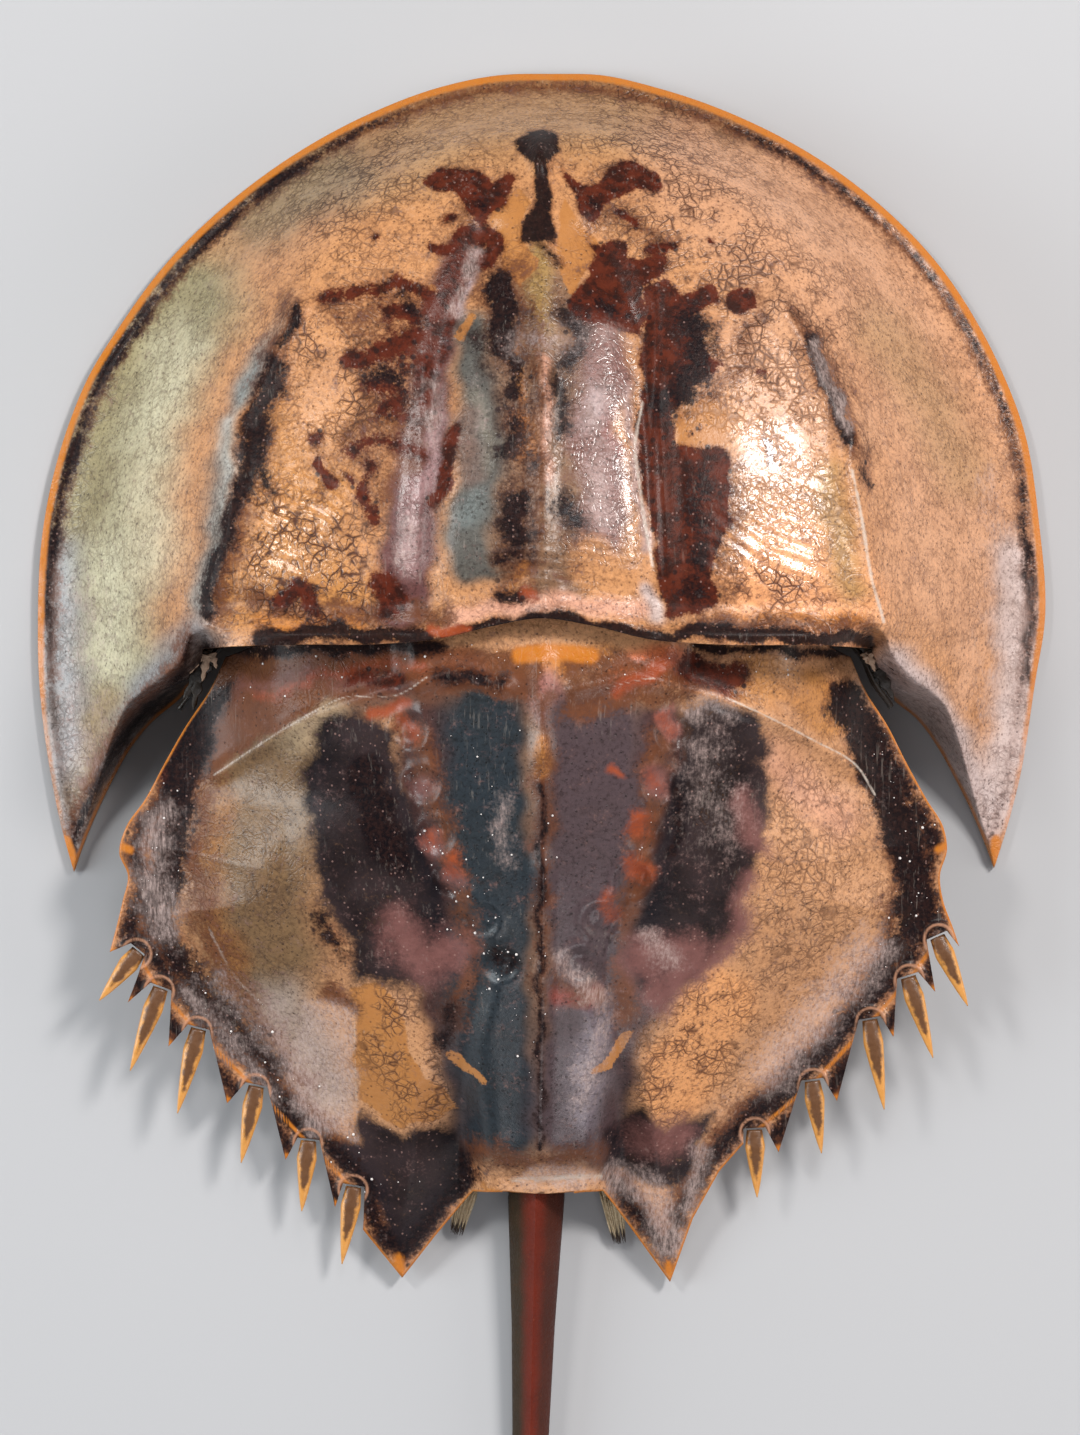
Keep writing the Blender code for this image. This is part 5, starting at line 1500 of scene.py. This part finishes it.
class CRAB_OT_side_spines(bpy.types.Operator):
    """Build the loose side spines"""
    bl_idname = "crab.side_spines"
    bl_label = "Side spines"

    def execute(self, context):
        look = spine_material()
        inputs = (("Root", "NodeSocketVector"), ("Heading", "NodeSocketFloat"), ("Length", "NodeSocketFloat"),
                  ("Width", "NodeSocketFloat"), ("Thickness", "NodeSocketFloat"), ("Droop", "NodeSocketFloat"))
        tree = node_tree("Side spine", inputs, lambda n, given: self.tree(n, given, look))
        for side, notches, tips in (
            ("left", LEFT_NOTCHES, LEFT_SPINE_TIPS),
            ("right", RIGHT_NOTCHES, RIGHT_SPINE_TIPS),
        ):
            for number, (base, tip) in enumerate(zip(notches, tips), 1):
                base, tip = Vector(base), Vector(tip)
                ahead = (tip - base).normalized()
                start = base - ahead * (SOCKET_DEPTH - SOCKET_PLAY)
                made = grow(f"thorn_{side}_{number}", tree, {
                    "Root": Vector((start.x, start.y, low_edge(base.y) + SPINE_LIFT)) * MM,
                    "Heading": math.atan2(ahead.y, ahead.x),
                    "Length": (tip - start).length * MM,
                    "Width": SPINE_WIDTH * MM,
                    "Thickness": SPINE_THICK * MM,
                    "Droop": SPINE_DROOP * MM,
                })
                ready(made, f"side_spine_{side}_{number}")
        return {"FINISHED"}

    def tree(self, n, given, look):
        """A round bar pressed into a flat blade that swells near its root and runs to a point."""
        bar = n("GeometryNodeMeshCylinder", {"Vertices": 28, "Side Segments": 30, "Radius": 1.0, "Depth": 2.0})
        place = n.position()
        share = n.times(n.math("ADD", place[2], 1.0), 0.5)
        root_side = n.math("MULTIPLY_ADD", share, 0.9, 0.72)
        left_over = n.math("MAXIMUM", n.math("SUBTRACT", 1.0, share), 0.0)
        tip_side = n.times(n.math("POWER", n.math("DIVIDE", left_over, 0.75), 0.75), 0.945)
        swell = n.math("MAXIMUM", n.math("MINIMUM", root_side, tip_side), 0.05)

        def pressed(value, power):
            bent = n.math("POWER", n.math("ABSOLUTE", value), power)
            return n.times(n.math("SIGN", value), bent, swell)

        flat, rise = pressed(place[0], 0.8), pressed(place[1], 1.15)
        lift = n.times(rise, 0.5, given["Thickness"])
        where = n.point(n.times(share, given["Length"]), n.times(flat, 0.5, given["Width"]),
                        n.math("SUBTRACT", lift, n.times(share, share, given["Droop"])))
        room = n.math("MAXIMUM", n.math("SUBTRACT", 1.05, share), 0.05)
        filled = n.math("DIVIDE", n.times(n.math("ABSOLUTE", flat), 0.9), room)
        inner = n.math("SUBTRACT", 1.0, filled, clamp=True)
        core = n.math("ADD", n.times(inner, n.ramp(share, 0.45, 0.86, 1.0, 0.0)), 0.1)
        marked = kept(n, bar.outputs["Mesh"], "core", core)
        blade = n("GeometryNodeSetPosition", {"Geometry": marked, "Position": where}).outputs[0]
        turn = n("FunctionNodeEulerToRotation", {0: n.point(0.0, 0.0, given["Heading"])}).outputs[0]
        placed = n("GeometryNodeTransform", {"Geometry": blade, "Translation": given["Root"], "Rotation": turn})
        return finished(n, placed.outputs[0], look)


class CRAB_OT_tail(bpy.types.Operator):
    """Build the three-sided tail"""
    bl_idname = "crab.tail"
    bl_label = "Tail"

    def execute(self, context):
        look = tail_material()
        inputs = (("Root", "NodeSocketVector"), ("Tip", "NodeSocketVector"), ("Height share", "NodeSocketFloat"))
        tree = node_tree("Tapered tail", inputs, lambda n, given: self.tree(n, given, look))
        made = grow("tail_taper", tree, {
            "Root": Vector((*TAIL_ROOT, 0.0)) * MM,
            "Tip": Vector((*TAIL_TIP, 0.0)) * MM,
            "Height share": TAIL_HEIGHT_SHARE * 0.97,
        })
        ready(made, "tail_spine")
        return {"FINISHED"}

    def tree(self, n, given, look):
        """A round bar pressed into a three-sided one: flat below, keeled above, tapering by its tables."""
        bar = n("GeometryNodeMeshCylinder", {"Vertices": 60, "Side Segments": 320, "Radius": 1.0, "Depth": 2.0})
        place = n.position()
        share = n.times(n.math("ADD", place[2], 1.0), 0.5)
        turn = n.math("WRAP", n.math("DIVIDE", n.math("ARCTAN2", place[1], place[0]), 2 * math.pi), 1.0, 0.0)
        over = n.math("MULTIPLY_ADD", turn, 2.5, -1.0)
        under = n.math("MULTIPLY_ADD", turn, -10.0, 9.0)
        across = n.math("MINIMUM", over, under)
        off = n.math("ABSOLUTE", across)
        keel = n.times(n.math("SUBTRACT", 1.0, n.math("POWER", off, 1.25)), 0.93)
        edge = n.times(n.math("SUBTRACT", 1.0, n.math("POWER", off, 10.0)), 0.12)
        up = n.times(n.math("MAXIMUM", n.math("ADD", keel, edge), 0.0), n.math("LESS_THAN", turn, 0.8))
        line = n("ShaderNodeMix", {0: share, 4: given["Root"], 5: given["Tip"]}, data_type="VECTOR").outputs[1]
        middle = n("ShaderNodeSeparateXYZ", {0: line}).outputs
        at = n.math("DIVIDE", middle[1], MM)
        half = n.times(table_field(n, TAIL_WIDTH, at), 0.5 * MM)
        tall = n.times(half, 2.0, given["Height share"])
        base = n.times(table_field(n, TAIL_BASE, at), MM)
        where = n.point(n.math("ADD", middle[0], n.times(across, half)), middle[1],
                        n.math("ADD", base, n.times(up, tall)))
        marked = kept(n, bar.outputs["Mesh"], "across", across)
        taper = n("GeometryNodeSetPosition", {"Geometry": marked, "Position": where}).outputs[0]
        outward = n("GeometryNodeFlipFaces", {"Mesh": taper}).outputs[0]
        return finished(n, outward, look)


class CRAB_OT_hinge(bpy.types.Operator):
    """Build the dried skin that follows the hinge and shows in both corners"""
    bl_idname = "crab.hinge_skin"
    bl_label = "Hinge skin"

    def execute(self, context):
        middle = np.array(HINGE)[2:-2] + (0.0, TUCK + 2.4)
        path = np.concatenate([STRAP_LEFT, middle, STRAP_RIGHT])
        bm = bmesh.new()
        for ribbon in RIBBONS:
            self.ribbon(bm, path, *ribbon)
        look = plain_material("Dried membrane", (0.05, 0.036, 0.025), (0.006, 0.005, 0.005), 0.4, 700.0, 0.5)
        ready(self.torn("hinge_skin", bm, SKIN_SHREDS), "hinge_membrane", look)
        look = plain_material("Torn tissue", (0.62, 0.46, 0.33), (0.30, 0.16, 0.09), 0.6, 900.0, 0.6)
        ready(self.torn("torn_tissue", bmesh.new(), PALE_SHREDS), None, look)
        return {"FINISHED"}

    def torn(self, name, bm, shreds):
        for root, tip, width in shreds:
            self.shred(bm, Vector(root), Vector(tip), width)
        return new_mesh_object(name, bm)

    def ribbon(self, bm, path, top_lift, tall, thick, wave):
        def place(angle, share):
            ahead, behind = min(share + 0.01, 1.0), max(share - 0.01, 0.0)
            (x, x2, x1), (y, y2, y1) = through(path, np.array([share, ahead, behind]))
            long = math.hypot(x2 - x1, y2 - y1)
            nx, ny = (y1 - y2) / long, (x2 - x1) / long
            arch = 1 - min(abs(x) / STRAP_HALF, 1.0) ** 2
            top = STRAP_LOW + STRAP_ARCH * arch - STRAP_DROP * float(step_up(abs(x), 66, 75)) + top_lift
            across = math.cos(angle) * 0.5 * thick * (1 + wave * math.sin(share * 90.0 + angle))
            z = top - tall / 2 + math.sin(angle) * tall / 2 * (1 - 0.12 * wave * (1 + math.sin(share * 140.0)))
            return (x + nx * across, y + ny * across, z)

        add_tube(bm, 14, 240, place)

    def shred(self, bm, root, tip, width):
        """A thin curling strip that tapers to its tip."""
        side = (tip - root).cross(Vector((0, 0, 1))).normalized()

        def place(angle, share):
            middle = root.lerp(tip, share)
            taper = width * (1 - share ** 1.6) + 0.12
            across = math.cos(angle) * taper * (1 + 0.25 * math.sin(share * 17.0))
            up = math.sin(angle) * 0.28 + 0.9 * math.sin(share * 5.0) * share
            return (middle.x + side.x * across, middle.y + side.y * across, middle.z + up)

        add_tube(bm, 10, 24, place)


class CRAB_OT_bristles(bpy.types.Operator):
    """Build the two tufts of bristles beside the tail"""
    bl_idname = "crab.bristles"
    bl_label = "Bristles"

    def execute(self, context):
        sizes = context.scene.crab_sizes
        look = bristle_material()
        inputs = (("Root radius", "NodeSocketFloat"), ("Tip radius", "NodeSocketFloat"))
        tree = node_tree("Bristle tuft", inputs, lambda n, given: self.tree(n, given, look))
        for side_name, root, tip in TUFTS:
            dice = np.random.default_rng(5)
            root, tip = Vector(root), Vector(tip)
            side = (tip - root).normalized().cross(Vector((0, 0, 1)))
            reach = (tip - root).length
            starts, turns, lengths = [], [], []
            for _ in range(sizes.bristles):
                across, up, back = dice.uniform(-1, 1), dice.uniform(-1, 1), dice.uniform(0.05, 0.45)
                start = root.lerp(tip, back) + side * across * TUFT_WIDTH * 0.42 + Vector((0, 0, up * 0.6))
                end = root.lerp(tip, 0.99) + side * across * TUFT_WIDTH * 0.24 + Vector((0, 0, up * 0.3))
                ahead = (end - start).normalized()
                starts.append(start)
                turns.append(ahead.to_track_quat("Z", "Y").to_euler()[:])
                lengths.append(min((end - start).length, reach) * dice.uniform(0.82, 1.0) * MM)
            attributes = {"turn": ("FLOAT_VECTOR", turns), "reach": ("FLOAT", lengths)}
            radii = {"Root radius": BRISTLE_ROOT * MM, "Tip radius": BRISTLE_TIP * MM}
            made = grow(f"bristles_{side_name}", tree, radii, starts, attributes)
            ready(made, f"bristle_fringe_{side_name}")
        return {"FINISHED"}

    def tree(self, n, given, look):
        cone = n("GeometryNodeMeshCone", {"Vertices": 5, "Side Segments": 4, "Radius Top": given["Tip radius"],
                                          "Radius Bottom": given["Root radius"], "Depth": 1.0})
        marked = kept(n, cone.outputs["Mesh"], "run", n.position()[2])
        spun = n("FunctionNodeEulerToRotation", {0: n.named("turn", "FLOAT_VECTOR")}).outputs[0]
        hairs = n("GeometryNodeInstanceOnPoints", {"Points": given["Geometry"], "Instance": marked,
                                                   "Rotation": spun, "Scale": n.point(1.0, 1.0, n.named("reach"))})
        return finished(n, hairs.outputs[0], look)


class CRAB_OT_salt(bpy.types.Operator):
    """Scatter the dried salt grains on the rear shell"""
    bl_idname = "crab.salt"
    bl_label = "Salt grains"

    def execute(self, context):
        plate = bpy.data.objects["rear_plate"]
        made = linked("salt_grains", plate.data.copy())
        x, y, z = points_of(made.data).T / MM
        at = wandering(*seen(x, y, z))
        density = most([strength * stroke_weight(*at, radius, soft, places)
                        for radius, soft, strength, places in SALT])
        store(made.data, "salt", density * (z > rear_fine(x, y) - 0.6))
        look = plain_material("Salt", (0.86, 0.83, 0.80), (0.50, 0.42, 0.40), 0.3, 2500.0, 0.1)
        inputs = (("Density", "NodeSocketFloat"), ("Grain radius", "NodeSocketFloat"))
        tree = node_tree("Salt grains", inputs, lambda n, given: self.tree(n, given, look))
        grown(made, tree, {"Density": context.scene.crab_sizes.grains, "Grain radius": GRAIN_RADIUS * MM})
        ready(made, None)
        return {"FINISHED"}

    def tree(self, n, given, look):
        thick = n.times(n.named("salt"), given["Density"])
        spots = n("GeometryNodeDistributePointsOnFaces", {"Mesh": given["Geometry"], "Density": thick, "Seed": 7})
        ball = n("GeometryNodeMeshIcoSphere", {"Radius": given["Grain radius"], "Subdivisions": 1})
        chance = n("FunctionNodeRandomValue", {2: 0.0, 3: 1.0, "Seed": 11}, data_type="FLOAT").outputs[1]
        size = n.math("ADD", 0.5, n.times(n.math("POWER", chance, 4.0), 1.7))
        grains = n("GeometryNodeInstanceOnPoints", {
            "Points": spots.outputs["Points"],
            "Instance": ball.outputs["Mesh"],
            "Scale": n.point(size, size, size),
        })
        return finished(n, grains.outputs[0], look)


WORLD_COLOUR, WORLD_STRENGTH = (0.80, 0.85, 0.92, 1.0), 0.25
LAMP_TARGET = Vector((0.0, 0.10, 0.03))
# Soft box lights: name, place in metres, size, power in watts and colour.
LAMPS = (
    ("key", (0.66, 0.68, 1.06), (0.24, 0.30), 16.5, (1.0, 0.97, 0.94)),
    ("lobe strip", (0.10, 0.76, 1.06), (0.16, 0.26), 1.2, (0.97, 0.97, 1.0)),
    ("left front", (-0.72, 0.68, 1.06), (0.20, 0.22), 6.0, (1.0, 0.98, 0.95)),
    ("right wash", (1.15, 0.05, 0.50), (0.5, 0.8), 5.2, (1.0, 0.95, 0.90)),
    ("left wash", (-1.10, 0.05, 0.46), (0.5, 0.9), 12.6, (0.90, 0.97, 1.0)),
    ("tail wash", (0.25, -1.05, 0.72), (0.8, 0.4), 4.6, (0.98, 0.97, 1.0)),
)


class CRAB_OT_stage(bpy.types.Operator):
    """Build the floor, the lights and the camera"""
    bl_idname = "crab.stage"
    bl_label = "Stage"

    def execute(self, context):
        scene = context.scene
        floor_look, n = new_material("Pale floor")
        shader = n("ShaderNodeBsdfPrincipled", {"Base Color": (*scene.crab_colours.floor, 1.0), "Roughness": 0.9})
        n("ShaderNodeOutputMaterial", {"Surface": shader.outputs[0]})
        mesh = bpy.data.meshes.new("floor")
        corners = ((-1, -1), (1, -1), (1, 1), (-1, 1))
        places = [(x * FLOOR_HALF, y * FLOOR_HALF, -FLOOR_GAP * MM) for x, y in corners]
        mesh.from_pydata(places, [], [(0, 1, 2, 3)])
        mesh.materials.append(floor_look)
        linked("floor", mesh)

        world = bpy.data.worlds.new("Studio")
        world.use_nodes = True
        sky = world.node_tree.nodes["Background"].inputs
        sky["Color"].default_value, sky["Strength"].default_value = WORLD_COLOUR, WORLD_STRENGTH
        scene.world = world
        scene.view_settings.view_transform = "Standard"

        for name, place, size, power, colour in LAMPS:
            lamp = bpy.data.lights.new(name, "AREA")
            lamp.shape = "RECTANGLE"
            lamp.size, lamp.size_y = size
            lamp.energy = power
            lamp.color = colour
            made = linked(name, lamp)
            made.location = place
            made.rotation_euler = (LAMP_TARGET - Vector(place)).to_track_quat("-Z", "Y").to_euler()

        eye = bpy.data.cameras.new("camera")
        eye.type = "PERSP"
        eye.sensor_width = 36.0
        eye.lens = eye.sensor_width / 2 / (2 * MID_PY * PIXEL_MM / 2 / CAMERA_HEIGHT)
        eye.clip_start, eye.clip_end = 0.05, 20.0
        scene.camera = linked("camera", eye)
        scene.camera.location = Vector((CAMERA_X, CAMERA_Y, CAMERA_HEIGHT)) * MM
        return {"FINISHED"}


class CRAB_PT_panel(bpy.types.Panel):
    """Lists the pieces"""
    bl_idname = "CRAB_PT_panel"
    bl_label = "Crab shell"
    bl_space_type = "VIEW_3D"
    bl_region_type = "UI"
    bl_category = "Crab shell"

    def draw(self, context):
        for operator in OPERATORS:
            self.layout.operator(operator.bl_idname)


OPERATORS = (CRAB_OT_front, CRAB_OT_rear, CRAB_OT_side_spines, CRAB_OT_tail, CRAB_OT_hinge, CRAB_OT_bristles,
             CRAB_OT_salt, CRAB_OT_stage)
CLASSES = (CrabColours, CrabSizes, *OPERATORS, CRAB_PT_panel)


def register():
    for cls in CLASSES:
        bpy.utils.register_class(cls)
    bpy.types.Scene.crab_colours = PointerProperty(type=CrabColours)
    bpy.types.Scene.crab_sizes = PointerProperty(type=CrabSizes)


def unregister():
    del bpy.types.Scene.crab_sizes
    del bpy.types.Scene.crab_colours
    for cls in reversed(CLASSES):
        bpy.utils.unregister_class(cls)


def main():
    register()
    bpy.ops.crab.front_shell()
    bpy.ops.crab.rear_shell()
    bpy.ops.crab.side_spines()
    bpy.ops.crab.tail()
    bpy.ops.crab.hinge_skin()
    bpy.ops.crab.bristles()
    bpy.ops.crab.salt()
    bpy.ops.crab.stage()


if __name__ == "__main__":
    main()
